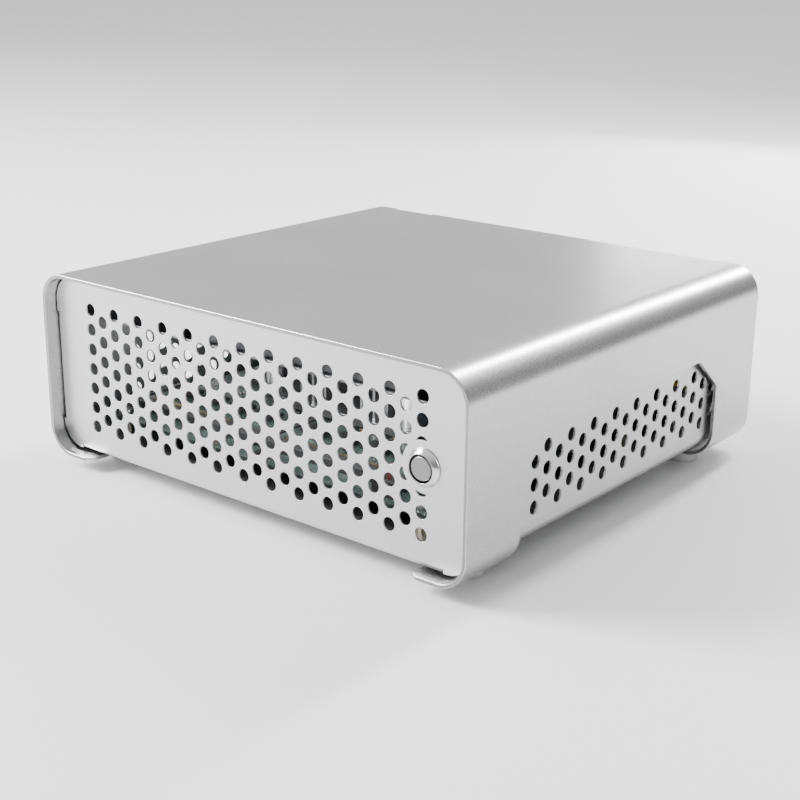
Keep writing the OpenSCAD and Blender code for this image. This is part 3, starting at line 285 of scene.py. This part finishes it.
def moulded_plastic(name, colour, roughness=0.45):
    """Spark-eroded mould finish: fine grain and slight unevenness of gloss."""
    p = Paint(name, colour, roughness=roughness, Specular_IOR_Level=0.45)
    grain = p.noise(0.5 * MM, detail=3.0)
    cloud = p.noise(12 * MM, detail=2.0)
    p.tone(cloud, 0.8, 1.25)
    p.rough(p.span(grain, roughness - 0.08, roughness + 0.1))
    p.bump(grain, 0.02 * MM, 0.5)
    return p.material


def soft_rubber(name, colour):
    """Matt rubber with a little dust."""
    p = Paint(name, colour, roughness=0.72, Specular_IOR_Level=0.35)
    grain = p.noise(0.6 * MM, detail=4.0)
    dust = p.noise(5 * MM, detail=3.0)
    p.tone(dust, 0.8, 1.3)
    p.rough(p.span(grain, 0.62, 0.82))
    p.bump(grain, 0.05 * MM, 0.6)
    return p.material


def board_laminate(name, mask, copper, track=1.1 * MM):
    """Solder mask over copper: raised tracks, pads of bare plating and glass weave."""
    gloss = {"Specular_IOR_Level": 0.5, "Coat_Weight": 0.3, "Coat_Roughness": 0.15}
    bare = (0.62, 0.6, 0.5)
    p = Paint(name, mask, roughness=0.35, **gloss)
    tracks = p.cells(track * 4, feature="DISTANCE_TO_EDGE")
    line = p.span(tracks, 1, 0, 0.02, 0.05)
    planes = p.span(p.noise(9 * MM, detail=1.0), 0, 1, 0.49, 0.52)
    under = p.math("MAXIMUM", line, planes)
    weave = p.noise(0.4 * MM, detail=1.0)
    pads = p.span(p.cells(2.6 * MM), 1, 0, 0.11, 0.13)
    masked = p.mix(under, mask, copper)
    tint = p.mix(p.span(weave, 0, 0.2), masked, tuple(1.6 * c for c in mask))
    p.feed(p.shader, {"Base Color": p.mix(pads, tint, bare), "Metallic": pads})
    p.rough(p.span(weave, 0.28, 0.42))
    p.bump(under, 0.04 * MM, 0.6)
    p.bump(pads, 0.05 * MM, 0.6)
    return p.material


def chip_top(name, colour):
    """Moulded chip package: fine matt grain."""
    p = Paint(name, colour, roughness=0.55, Specular_IOR_Level=0.4)
    grain = p.noise(0.25 * MM, detail=3.0)
    p.tone(grain, 0.75, 1.3)
    p.rough(p.span(grain, 0.45, 0.62))
    p.bump(grain, 0.015 * MM, 0.5)
    return p.material


def sintered(name, colour):
    """Pressed and fired powder: coarse matt grain."""
    p = Paint(name, colour, roughness=0.6, metallic=0.2)
    grain = p.noise(0.5 * MM, detail=4.0)
    p.tone(grain, 0.7, 1.35)
    p.rough(p.span(grain, 0.5, 0.7))
    p.bump(grain, 0.04 * MM, 0.7)
    return p.material


def wound_copper(name, colour):
    """Enamelled wire, side by side."""
    p = Paint(name, colour, metallic=0.9, roughness=0.3)
    turns = p.noise(0.45 * MM, detail=0.0, stretch=(0.05, 1, 0.05))
    p.tone(turns, 0.6, 1.3)
    p.bump(turns, 0.12 * MM, 0.8)
    return p.material


def floor_paint(name):
    """Nearly even matt paper."""
    p = Paint(name, (0.93, 0.93, 0.93), roughness=0.6, Specular_IOR_Level=0.2)
    p.tone(p.noise(0.4, detail=2.0), 0.99, 1.01)
    return p.material


def jacket(name, colour):
    """The soft plastic round a wire."""
    p = Paint(name, colour, roughness=0.42, Specular_IOR_Level=0.45)
    grain = p.noise(0.8 * MM, detail=3.0)
    p.tone(grain, 0.8, 1.2)
    p.bump(grain, 0.015 * MM, 0.5)
    return p.material


def make_paints():
    shell = (0.555, 0.556, 0.56)
    sheet = (0.575, 0.576, 0.58)
    return {
        # the cover's front-facing edges get painted shade at half brightness
        "cover": blasted_aluminium("cover_aluminium", shell, 0.3, front_shade_tone=0.5),
        "sheet": blasted_aluminium("chassis_aluminium", sheet, 0.34),
        "bracket": plated_metal("bracket_aluminium", (0.6, 0.6, 0.61), 0.36),
        "pad": soft_rubber("pad_rubber", (0.6, 0.6, 0.605)),
        "screw": plated_metal("screw_steel", (0.6, 0.6, 0.6), 0.28),
        "ring": turned_steel("polished_steel", (0.66, 0.66, 0.67), 0.13),
        "cap": turned_steel("satin_steel", (0.24, 0.24, 0.243), 0.36),
        "spring": plated_metal("spring_steel", (0.5, 0.5, 0.5), 0.25),
        "plastic": moulded_plastic("black_plastic", (0.045, 0.045, 0.047)),
        "board": board_laminate("board_laminate", (0.042, 0.062, 0.057), (0.08, 0.115, 0.105)),
        "card": board_laminate(
            "card_laminate", (0.025, 0.045, 0.075), (0.045, 0.085, 0.14), track=0.6 * MM
        ),
        "port": plated_metal("connector_steel", (0.68, 0.68, 0.69), 0.3),
        "shield": plated_metal("shield_steel", (0.66, 0.66, 0.67), 0.33),
        "brass": plated_metal("brass_plated", (0.68, 0.62, 0.48), 0.3),
        "chip": chip_top("chip_black", (0.02, 0.02, 0.021)),
        "die": plated_metal("processor_die", (0.5, 0.52, 0.55), 0.12),
        "paste": soft_rubber("thermal_grey", (0.35, 0.36, 0.38)),
        "sink": plated_metal("heatsink_aluminium", (0.7, 0.71, 0.72), 0.34),
        "ferrite": sintered("ferrite_grey", (0.1, 0.1, 0.105)),
        "can": plated_metal("capacitor_can", (0.72, 0.72, 0.73), 0.25),
        "copper": wound_copper("copper_winding", (0.62, 0.26, 0.09)),
        "cell": plated_metal("cell_steel", (0.7, 0.7, 0.69), 0.22),
        "drive": plated_metal("drive_shell", (0.2, 0.205, 0.215), 0.38),
        "lead": jacket("lead_black", (0.025, 0.025, 0.027)),
        "blade": moulded_plastic("fan_plastic", (0.03, 0.03, 0.032), 0.35),
        "lead_red": jacket("lead_red", (0.16, 0.04, 0.035)),
        "lead_yellow": jacket("lead_yellow", (0.5, 0.33, 0.03)),
        "ceramic": chip_top("ceramic_tan", (0.22, 0.15, 0.09)),
        "gold": plated_metal("gold_plate", (0.8, 0.58, 0.24), 0.25),
        "drive_lid": plated_metal("drive_lid", (0.34, 0.345, 0.355), 0.33),
        "floor": floor_paint("floor_paint"),
    }


# Which finish each CAD node has
FINISH = {
    "cover": ["cover"],
    "sheet": ["tray", "front_panel", "rear_panel"],
    "bracket": ["drive_bracket"],
    "pad": ["foot_pads"],
    "screw": [
        "thumbscrew_left", "thumbscrew_right", "rivets", "switch_nut", "board_screws",
        "cooler_screws", "fan_screws", "bracket_screws", "drive_screws", "dc_inlet_nut",
    ],
    "ring": ["switch_housing"],
    "cap": ["switch_button"],
    "spring": ["switch_spring"],
    "plastic": [
        "switch_base", "audio_jacks", "fan_frame", "fan_rotor", "memory_sockets",
        "flash_socket", "expansion_slot", "sata_sockets", "pin_headers", "cell_holder",
        "dc_inlet",
    ],
    "board": ["mainboard", "memory_module_a", "memory_module_b"],
    "card": ["flash_card"],
    "port": ["usb_ports", "lan_port", "display_ports"],
    "shield": ["io_shield", "cooler_backplate"],
    "brass": ["rivet_nuts", "standoffs", "flash_screw"],
    "chip": ["board_chips"],
    "die": ["processor"],
    "paste": ["thermal_pad"],
    "sink": ["heatsink"],
    "ferrite": ["chokes"],
    "can": ["capacitors"],
    "copper": ["fan_stator"],
    "cell": ["coin_cell"],
    "drive": ["storage_drive"],
    "lead": ["switch_lead", "fan_lead", "sata_lead", "drive_power_lead", "dc_lead"],
}


def finish_nodes(paints):
    for paint, names in FINISH.items():
        for name in names:
            mesh = NODES[name].data
            mesh.materials.clear()
            mesh.materials.append(paints[paint])


# ---------- small edge breaks on the CAD nodes ----------

# The nodes whose edges are broken, by the width of the break in millimetres
EDGES = {
    0.12: [
        "tray", "front_panel", "rear_panel", "drive_bracket", "io_shield", "cooler_backplate",
        "rivets", "board_screws", "cooler_screws", "fan_screws", "bracket_screws", "drive_screws",
        "switch_nut", "dc_inlet_nut", "thumbscrew_left", "thumbscrew_right",
    ],
    0.2: ["switch_housing", "switch_button"],
    0.25: [
        "storage_drive", "heatsink", "fan_frame", "dc_inlet", "audio_jacks", "memory_sockets",
    ],
    0.15: [
        "usb_ports", "lan_port", "display_ports", "sata_sockets", "pin_headers", "cell_holder",
        "flash_socket", "mainboard", "rivet_nuts",
    ],
}


def soften_nodes():
    """Modifiers join each node's points and break its sharp edges; its mesh stays as it is."""
    for width, names in EDGES.items():
        for name in names:
            weld = NODES[name].modifiers.new("weld", "WELD")
            weld.merge_threshold = 0.002 * MM
            bevel = NODES[name].modifiers.new("edge_break", "BEVEL")
            bevel.width = width * MM
            bevel.segments = 2 if width > 0.15 else 1
            bevel.limit_method = "ANGLE"
            bevel.angle_limit = math.radians(35)
            bevel.use_clamp_overlap = False
            bevel.harden_normals = True


# ---------- building pieces ----------

class Shape:
    """A mesh put together from small solids, in millimetres, then given to a CAD body."""

    def __init__(self, name):
        self.name = name
        self.mesh = bmesh.new()

    def box(self, low, high, edge=0.0):
        size = [b - a for a, b in zip(low, high)]
        middle = [(a + b) / 2 for a, b in zip(low, high)]
        place = Matrix.Translation(middle) @ Matrix.Diagonal((*size, 1))
        made = bmesh.ops.create_cube(self.mesh, size=1, matrix=place)["verts"]
        if edge:
            edges = list({e for v in made for e in v.link_edges})
            bmesh.ops.bevel(
                self.mesh, geom=edges, offset=edge, segments=2, affect="EDGES", profile=0.5
            )

    def block(self, middle, size, edge=0.0):
        """A box from the middle of its foot and its size."""
        x, y, z = middle
        w, d, h = size
        self.box((x - w / 2, y - d / 2, z), (x + w / 2, y + d / 2, z + h), edge)

    def skin(self, rings):
        """Joins rings of points, each as long as the next, and closes both ends."""
        rows = [[self.mesh.verts.new(p) for p in ring] for ring in rings]
        count = len(rows[0])
        for a, b in zip(rows[:-1], rows[1:]):
            for k in range(count):
                n = (k + 1) % count
                self.mesh.faces.new((a[k], a[n], b[n], b[k]))
        self.mesh.faces.new(list(reversed(rows[0])))
        self.mesh.faces.new(rows[-1])

    def lathe(self, profile, at, axis="Z", steps=40):
        """Turns (radius, height) pairs about an axis through the point at."""
        turn = {"Z": Matrix.Identity(3), "Y": Matrix.Rotation(-math.pi / 2, 3, "X")}[axis]
        rings = []
        for radius, height in profile:
            radius = max(radius, 0.01)
            ring = []
            for k in range(steps):
                a = 2 * math.pi * k / steps
                point = Vector((radius * math.cos(a), radius * math.sin(a), height))
                ring.append(Vector(at) + turn @ point)
            rings.append(ring)
        self.skin(rings)

    def tube(self, points, diameter, sides=14):
        """A round wire along a smooth curve through the given points."""
        path = smooth_path([Vector(p) for p in points])
        aim = (path[1] - path[0]).normalized()
        side = aim.orthogonal().normalized()
        rings = []
        for i, point in enumerate(path):
            ahead = (path[min(i + 1, len(path) - 1)] - path[max(i - 1, 0)]).normalized()
            side = (side - side.dot(ahead) * ahead).normalized()
            across = ahead.cross(side)
            rings.append([
                point + diameter / 2 * (math.cos(a) * side + math.sin(a) * across)
                for a in [2 * math.pi * k / sides for k in range(sides)]
            ])
        self.skin(rings)

    def done(self, paint, body, slot, stands_for=(), sharp=35):
        """Makes the object, shaded smooth except over edges sharper than sharp degrees."""
        bmesh.ops.scale(self.mesh, vec=(MM, MM, MM), verts=self.mesh.verts)
        bmesh.ops.recalc_face_normals(self.mesh, faces=self.mesh.faces)
        mesh = bpy.data.meshes.new(self.name)
        self.mesh.to_mesh(mesh)
        self.mesh.free()
        mesh.shade_smooth()
        mesh.set_sharp_from_angle(angle=math.radians(sharp))
        mesh.materials.append(paint)
        piece = bpy.data.objects.new(self.name, mesh)
        bpy.context.scene.collection.objects.link(piece)
        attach(piece, body)
        if stands_for:
            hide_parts(*stands_for)
        return piece


def smooth_path(points, steps=8):
    """A smooth curve through every point."""
    last = len(points) - 1
    path = []
    for i in range(last):
        a, b = points[max(i - 1, 0)], points[i]
        c, d = points[i + 1], points[min(i + 2, last)]
        for j in range(steps):
            s = j / steps
            path.append(0.5 * (
                2 * b + (c - a) * s + (2 * a - 5 * b + 4 * c - d) * s ** 2
                + (3 * b - a - 3 * c + d) * s ** 3
            ))
    return path + [points[last]]


def mm_box(node):
    """A CAD node's lowest and highest corners, in millimetres."""
    low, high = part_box(node)
    return low / MM, high / MM


# ---------- fan ----------

BLADES = 7
BLADE_SPANS = 7
BLADE_CHORDS = 12


def blade_side(middle, turn, root, tip, mid_z, lift, face):
    """One side of a swept, twisted blade, as rows of points from the hub outwards."""
    rows = []
    for i in range(BLADE_SPANS + 1):
        out = i / BLADE_SPANS
        radius = root + (tip - root) * out
        half_turn = math.radians(21 - 2 * out)
        sweep = math.radians(14) * out ** 1.5
        row = []
        for j in range(BLADE_CHORDS + 1):
            across = 2 * j / BLADE_CHORDS - 1
            angle = turn + sweep + half_turn * across
            half_thick = 0.55 * (1 - 0.7 * across ** 2) * (1 - 0.3 * out)
            camber = 0.9 * (1 - across ** 2) - 0.4
            height = mid_z - lift * across * (1 - 0.12 * out) + camber
            row.append(Vector((
                middle[0] + radius * math.cos(angle),
                middle[1] + radius * math.sin(angle), height + face * half_thick,
            )))
        rows.append(row)
    return rows


def add_fan_rotor(paints):
    """A hollow hub with a dished top, its shaft and its blades."""
    low, high = mm_box("fan_rotor")
    frame_low, frame_high = mm_box("fan_frame")
    middle = ((low.x + high.x) / 2, (low.y + high.y) / 2, 0)
    top = frame_high.z - 0.8
    foot = frame_low.z + 3.3
    hub_r, hub_wall, hub_roof = 17.0, 1.2, 1.4
    rounding_r = 1.6
    dish_r, dish_depth = 11, 0.4
    shaft_r, shaft_foot = 1.5, frame_low.z + 1.6
    shape = Shape("fan_blades")
    dish = [(0, top - dish_depth), (dish_r, top - dish_depth), (dish_r + 0.4, top)]
    turns = [math.pi / 2 * k / 6 for k in range(7)]
    rounding = [
        (hub_r - rounding_r + rounding_r * math.sin(t), top - rounding_r + rounding_r * math.cos(t))
        for t in turns
    ]
    inside = [
        (hub_r, foot), (hub_r - hub_wall, foot), (hub_r - hub_wall, top - hub_roof),
        (0, top - hub_roof),
    ]
    shape.lathe(dish + rounding + inside, middle, steps=64)
    shape.lathe(
        [(0, shaft_foot), (shaft_r, shaft_foot), (shaft_r, top - 1.5), (0, top - 1.5)],
        middle, steps=24,
    )
    root = hub_r - 0.6
    tip = (high.x - low.x) / 2 - 0.1
    blade_top = top - 0.6
    mid_z = (foot + blade_top) / 2
    lift = (blade_top - foot) / 2 - 0.8
    for k in range(BLADES):
        turn = 2 * math.pi * k / BLADES
        upper, lower = (
            blade_side(middle, turn, root, tip, mid_z, lift, face) for face in (1, -1)
        )
        shape.skin([up + list(reversed(down)) for up, down in zip(upper, lower)])
    shape.done(paints["blade"], "fan_rotor", "black_plastic", ["fan_rotor"], 50)


# ---------- switch spring ----------

def add_switch_spring(paints):
    """A coil behind the button, built at one length; on the real switch it shortens as the button
    goes in.
    """
    low, high = mm_box("switch_spring")
    x, z = (low.x + high.x) / 2, (low.z + high.z) / 2
    wire_d, coil_r, turns = 0.5, 3.3, 4
    end_gap = 0.3
    first, last = low.y + end_gap, high.y - end_gap
    steps = 12 * turns
    points = []
    for k in range(steps + 1):
        turn = 2 * math.pi * turns * k / steps
        along = first + (last - first) * k / steps
        points.append((x + coil_r * math.cos(turn), along, z + coil_r * math.sin(turn)))
    shape = Shape("button_spring")
    shape.tube(points, wire_d, 10)
    piece = shape.done(paints["spring"], "chassis", "spring_steel", ["switch_spring"])
    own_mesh(piece)


# ---------- leads ----------

LEAD_D = 2.2
SWITCH_WIRE_D = 1.4

# The drive's plugs: X from and to, Z from and to
PLUG_X = (63.7, 76.5)
PLUG_Z = (63.1, 67.1)


def switch_route(side):
    """From the switch's contacts down to its header; side is -1 or 1."""
    contact_x = 83.8 + 2.6 * side
    shift = 1.3 * side
    return [
        (contact_x, -67.5, 42.3), (contact_x, -66.5, 42.3), (contact_x, -63.5, 42.3),
        (81.8 + shift, -59.5, 36.3), (77.8 + shift, -65.5, 23.1), (57.35 + shift, -69.3, 28.2),
        (49.35 + shift, -73.3, 27.2), (49.35 + shift, -73.3, 24.2), (49.35 + shift, -73.3, 23.2),
    ]


def inlet_route(side):
    """From the power inlet to the board; side is -1 or 1."""
    shift = 2 * side
    return [
        (87.425 + shift, 76.2, 31.1), (87.425 + shift, 75.2, 31.1), (87.425 + shift, 71.2, 31.1),
        (85.425 + shift, 67.2, 34.1), (78.425 + shift, 72.7, 36.2), (65.35 + shift, 71.7, 29.2),
        (65.35 + shift, 71.7, 24.2), (65.35 + shift, 71.7, 23.2),
    ]


def fan_route():
    """From the side of the fan's frame down to its header."""
    low, high = mm_box("fan_frame")
    x = high.x
    y = (low.y + high.y) / 2
    z = low.z
    return [
        (x, y + 20, z + 4), (x + 1, y + 20, z + 4), (x + 2.5, y + 20, z + 4),
        (x + 4, y + 27, z - 2), (x + 2, y + 38, z - 12),
        (x - 6, y + 49, 28.2), (x - 6, y + 49, 24.2), (x - 6, y + 49, 23.2),
    ]


def add_wires(name, paint, node, routes, diameter):
    shape = Shape(name)
    for route in routes:
        shape.tube(route, diameter)
    shape.done(paint, "chassis", "lead_black", [node])


def add_drive_lead(name, paint, node, plug_y, plug_w, board_at, board_plug, route):
    """A plug on the drive, a plug on the board and the lead between them."""
    x, y, z = board_at
    plug_top = z + board_plug[2]
    middle = plug_y + plug_w / 2
    shape = Shape(name)
    shape.box((PLUG_X[0], plug_y, PLUG_Z[0]), (PLUG_X[1], plug_y + plug_w, PLUG_Z[1]), 0.4)
    latch_low = (70, plug_y + 1.5, PLUG_Z[1] - 0.1)
    shape.box(latch_low, (75.5, plug_y + plug_w - 1.5, PLUG_Z[1] + 0.3), 0.15)
    shape.block(board_at, board_plug, 0.4)
    shape.tube(
        [(76.4, middle, 65.1), (77.5, middle, 65.1), (79.5, middle, 65.1)] + route
        + [(x, y, plug_top + 5), (x, y, plug_top + 1), (x, y, plug_top - 0.1)], LEAD_D,
    )
    shape.done(paint, "chassis", "lead_black", [node])


def add_leads(paints):
    """Each piece stands for one CAD lead."""
    black, red, yellow = paints["lead"], paints["lead_red"], paints["lead_yellow"]
    add_wires("switch_wires", red, "switch_lead", map(switch_route, (-1, 1)), SWITCH_WIRE_D)
    add_wires("inlet_wires", yellow, "dc_lead", map(inlet_route, (-1, 1)), LEAD_D)
    add_wires("fan_wires", black, "fan_lead", [fan_route()], LEAD_D)
    add_drive_lead(
        "data_lead", black, "sata_lead", -74, 12, (66.85, -59.8, 25.2), (4.6, 11.6, 6),
        [(83.5, -65, 58.9), (82.5, -60, 49.9), (76.5, -59, 42.9)],
    )
    add_drive_lead(
        "supply_lead", black, "drive_power_lead", -59, 22, (62.85, -48.3, 23.2), (9.6, 4.6, 5),
        [(83.5, -48, 58.9), (83.5, -50, 47.9), (78.5, -56, 39.9)],
    )


# ---------- mainboard parts ----------

# Free patches of the board: X from, X to, Y from, Y to, how many small parts at most
PATCHES = [
    (-46, 24, -33, -23, 46), (18, 28, -18, 42, 30), (54, 62, -14, 44, 26), (-46, 14, 65, 69, 20),
    (-92, -72, -31, -17, 16), (-92, -69, 24, 30, 12), (28, 44, -33, -21, 12),
    (-48, -30, -77, -74, 5), (26, 44, 53, 69, 16),
]
SMALL_PART_PITCH = 2.6

# One power transistor beside each choke
TRANSISTORS = 5
TRANSISTOR_AT = (-57.2, -17.7)
TRANSISTOR_PITCH = 13
TRANSISTOR_PINS = (-1.9, -0.65, 0.65, 1.9)


def add_small_parts(paints):
    """Chip capacitors and resistors, power transistors and a crystal."""
    top = mm_box("mainboard")[1].z
    dice = random.Random(11)
    bodies, ends = Shape("chip_parts"), Shape("chip_part_ends")
    transistors = Shape("power_transistors")
    for x0, x1, y0, y1, count in PATCHES:
        taken = []
        for _ in range(count * 6):
            if len(taken) == count:
                break
            length = dice.choice((1.0, 1.6, 1.6, 2.0))
            wide = 0.55 * length
            flat = dice.random() < 0.5
            x = round(dice.uniform(x0, x1) * 2) / 2
            y = round(dice.uniform(y0, y1) * 2) / 2
            near = SMALL_PART_PITCH
            if any(abs(x - a) < near and abs(y - b) < near for a, b in taken):
                continue
            taken.append((x, y))
            size = (0.62 * length, wide) if flat else (wide, 0.62 * length)
            bodies.block((x, y, top), (*size, 0.5 * length), 0.04)
            for side in (-1, 1):
                shift = side * 0.4 * length
                end = (0.22 * length, wide + 0.04) if flat else (wide + 0.04, 0.22 * length)
                at = (x + shift, y, top) if flat else (x, y + shift, top)
                ends.block(at, (*end, 0.52 * length), 0.05)
    x, first_y = TRANSISTOR_AT
    for k in range(TRANSISTORS):
        y = first_y + TRANSISTOR_PITCH * k
        transistors.block((x, y, top), (3.6, 6, 1), 0.12)
        for pin in TRANSISTOR_PINS:
            ends.block((x + 2.1, y + pin, top), (0.8, 0.5, 0.3), 0.05)
    crystal_at, crystal_size = (-77, 5.7, top), (11, 4.6, 3.4)
    ends.block(crystal_at, crystal_size, 1.1)
    bodies.done(paints["ceramic"], "chassis", "chip_black")
    ends.done(paints["port"], "chassis", "connector_steel")
    transistors.done(paints["chip"], "chassis", "chip_black")


def add_modules(paints):
    """Chips on the memory modules and the flash card, and the modules' contacts."""
    chips, contacts = Shape("module_chips"), Shape("module_contacts")
    memory_chip, control_chip = (11.5, 9, 1.0), (3, 2, 0.7)
    flash_chip, flash_control = (14, 18, 1.1), (9, 9, 1.0)
    for node in ("memory_module_a", "memory_module_b"):
        low, high = mm_box(node)
        pitch = (high.x - low.x - 6) / 4
        for k in range(4):
            x = low.x + 3 + pitch * (k + 0.5)
            chips.block((x, low.y + 18, high.z), memory_chip, 0.15)
        chips.block(((low.x + high.x) / 2, low.y + 8.5, high.z), control_chip, 0.1)
        for k in range(40):
            x = low.x + 6 + 1.4 * k
            contacts.box((x, low.y + 3.3, high.z), (x + 0.8, low.y + 5.3, high.z + 0.04))
    low, high = mm_box("flash_card")
    along = high.y - low.y
    middle = (low.x + high.x) / 2
    for share, size in ((0.3, flash_chip), (0.58, flash_chip), (0.82, flash_control)):
        chips.block((middle, low.y + share * along, high.z), size, 0.15)
    chips.done(paints["chip"], "chassis", "chip_black")
    contacts.done(paints["gold"], "chassis", "brass_plated")


def add_slot(paints):
    """The expansion slot: a body with a groove and a key, and contacts in the groove."""
    low, high = mm_box("expansion_slot")
    body = Shape("slot_body")
    mid = (low.x + high.x) / 2
    groove = 1.0
    foot = low.z + 2.5
    key = low.y + 0.15 * (high.y - low.y)
    key_w, end_w = 1.6, 2
    body.box((low.x, low.y, low.z), (high.x, high.y, foot), 0.2)
    for a, b in ((low.x, mid - groove), (mid + groove, high.x)):
        body.box((a, low.y, foot - 0.1), (b, high.y, high.z), 0.3)
    for a, b in ((low.y, low.y + end_w), (key, key + key_w), (high.y - end_w, high.y)):
        body.box(
            (mid - groove - 0.2, a, foot - 0.1), (mid + groove + 0.2, b, high.z - 0.3), 0.1
        )
    body.done(paints["plastic"], "chassis", "black_plastic", ["expansion_slot"])
    contacts = Shape("slot_contacts")
    for k in range(int(high.y - low.y - 2 * end_w)):
        y = low.y + end_w + 0.5 + k
        for side in (-1, 1):
            x = mid + side * (groove - 0.08)
            if not key - 0.4 < y < key + 2:
                contacts.box(
                    (x - 0.08, y - 0.25, foot + 0.1), (x + 0.08, y + 0.25, high.z - 0.8)
                )
    contacts.done(paints["gold"], "chassis", "brass_plated")


# ---------- rear connectors ----------

def add_port_detail(paints):
    """Plastic tongues and contacts inside the sockets, and gold faces on the jacks."""
    tongues, contacts = Shape("port_tongues"), Shape("port_contacts")
    top = mm_box("mainboard")[1].z
    usb_low, usb_high = mm_box("usb_ports")
    face = usb_high.y
    first_usb, usb_pitch = usb_low.x + 6.6, 48
    for x in (first_usb, first_usb + usb_pitch):
        for floor_z in (top + 1.2, top + 9):
            low, high = (x - 5.6, face - 9, floor_z + 2.9), (x + 5.6, face - 0.4, floor_z + 4.7)
            tongues.box(low, high, 0.15)
            for k in range(4):
                a = x - 3.9 + 2.6 * k
                low = (a - 0.5, face - 7.5, floor_z + 2.84)
                contacts.box(low, (a + 0.5, face - 1.5, floor_z + 2.92))
    low, high = mm_box("lan_port")
    middle = (low.x + high.x) / 2
    for k in range(8):
        a = middle - 3.57 + 1.02 * k
        spring = [(a, face - 13, top + 10.9), (a, face - 9, top + 10.2), (a, face - 5, top + 8.6)]
        contacts.tube(spring, 0.4, 6)
    jack_low, jack_high = mm_box("audio_jacks")
    jack_z = (jack_low.z + jack_high.z) / 2
    for k in range(3):
        x = jack_low.x + 5.75 + 13 * k
        profile = [(1.82, -0.3), (2.5, -0.3), (2.5, 0.12), (1.82, 0.12)]
        contacts.lathe(profile, (x, face, jack_z), "Y", 32)
    tongues.done(paints["plastic"], "chassis", "black_plastic")
    contacts.done(paints["gold"], "chassis", "brass_plated")


# ---------- drive and capacitors ----------

def add_drive_detail(paints):
    """A raised lid on the drive and a screw head near each of its corners."""
    low, high = mm_box("storage_drive")
    rim, rear_rim = 2.5, 6
    lid = Shape("drive_lid")
    lid_low = (low.x + rim, low.y + rim, high.z - 0.3)
    lid.box(lid_low, (high.x - rear_rim, high.y - rim, high.z + 0.35), 0.3)
    for x in (low.x + 6, high.x - 10):
        for y in (low.y + 6, high.y - 6):
            lid.lathe(
                [(0, 0.3), (1.0, 0.3), (1.1, 0.55), (2.2, 0.55), (2.4, 0.3), (2.4, 0)],
                (x, y, high.z), steps=24,
            )
    lid.done(paints["drive_lid"], "chassis", "drive_shell")


def add_capacitor_detail(paints):
    """A square foot, a black band and a black mark on the top of each capacitor."""
    low, high = mm_box("capacitors")
    pitch = 14
    feet = Shape("capacitor_feet")
    r = (high.y - low.y) / 2
    for k in range(4):
        x, y = low.x + r + pitch * k, low.y + r
        feet.block((x, y, low.z), (2 * r + 0.7, 2 * r + 0.7, 1.3), 0.3)
        feet.lathe([(r + 0.05, 1), (r + 0.05, 2.6)], (x, y, low.z), steps=36)
        mark_low = (x - r * 0.95, y - r * 0.72, high.z - 0.05)
        feet.box(mark_low, (x - r * 0.4, y + r * 0.72, high.z + 0.05), 0.04)
    feet.done(paints["plastic"], "chassis", "black_plastic")


# ---------- cover ----------

def add_cover(paints):
    """The cover's own sheet with its cut edges broken, apart from the small tabs at the rear."""
    edge_break = 0.28 * MM
    sharp_from = math.radians(40)
    mesh = bmesh.new()
    mesh.from_mesh(NODES["cover"].data)
    bmesh.ops.remove_doubles(mesh, verts=mesh.verts, dist=0.002 * MM)
    low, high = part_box("cover")
    tabs_from = high.y - 6 * MM
    sharp = [
        e for e in mesh.edges
        if len(e.link_faces) == 2 and e.calc_face_angle() > sharp_from
        and all(v.co.y < tabs_from for v in e.verts)
    ]
    bmesh.ops.bevel(mesh, geom=sharp, offset=edge_break, segments=2, affect="EDGES", profile=0.5)
    for v in mesh.verts:
        v.co = [min(max(c, a), b) for c, a, b in zip(v.co, low, high)]
    data = bpy.data.meshes.new("cover_shell")
    mesh.to_mesh(data)
    mesh.free()
    data.shade_smooth()
    data.set_sharp_from_angle(angle=sharp_from)
    data.materials.append(paints["cover"])
    piece = bpy.data.objects.new("cover_shell", data)
    bpy.context.scene.collection.objects.link(piece)
    piece.modifiers.new("even_normals", "WEIGHTED_NORMAL").keep_sharp = True
    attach(piece, "cover")
    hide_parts("cover")


# ---------- the scene ----------

paints = make_paints()
add_camera()
add_world(0.36, 1.16, (-0.45, 0, 0.9))
add_floor(paints["floor"])
add_softbox("key_softbox", -58, 34, 1.7, (0.7, 0.7), 66)
add_softbox("rear_strip", 175.5, 37, 1.086, (0.08, 0.66), 15)
add_softbox("rear_softbox", 195, 11, 1.0, (0.4, 0.22), 1.9)
add_softbox("front_softbox", -50, 22, 1.2, (0.8, 0.5), 4)
add_softbox("inner_fill", 0, 31, 0.0875, (0.15, 0.02), 0.06)
finish_nodes(paints)
soften_nodes()
add_cover(paints)
add_fan_rotor(paints)
add_switch_spring(paints)
add_leads(paints)
add_small_parts(paints)
add_modules(paints)
add_slot(paints)
add_port_detail(paints)
add_drive_detail(paints)
add_capacitor_detail(paints)


def corners(box):
    return [list(corner) for corner in box]


{"cad": corners(cad_box), "visual": corners(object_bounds())}
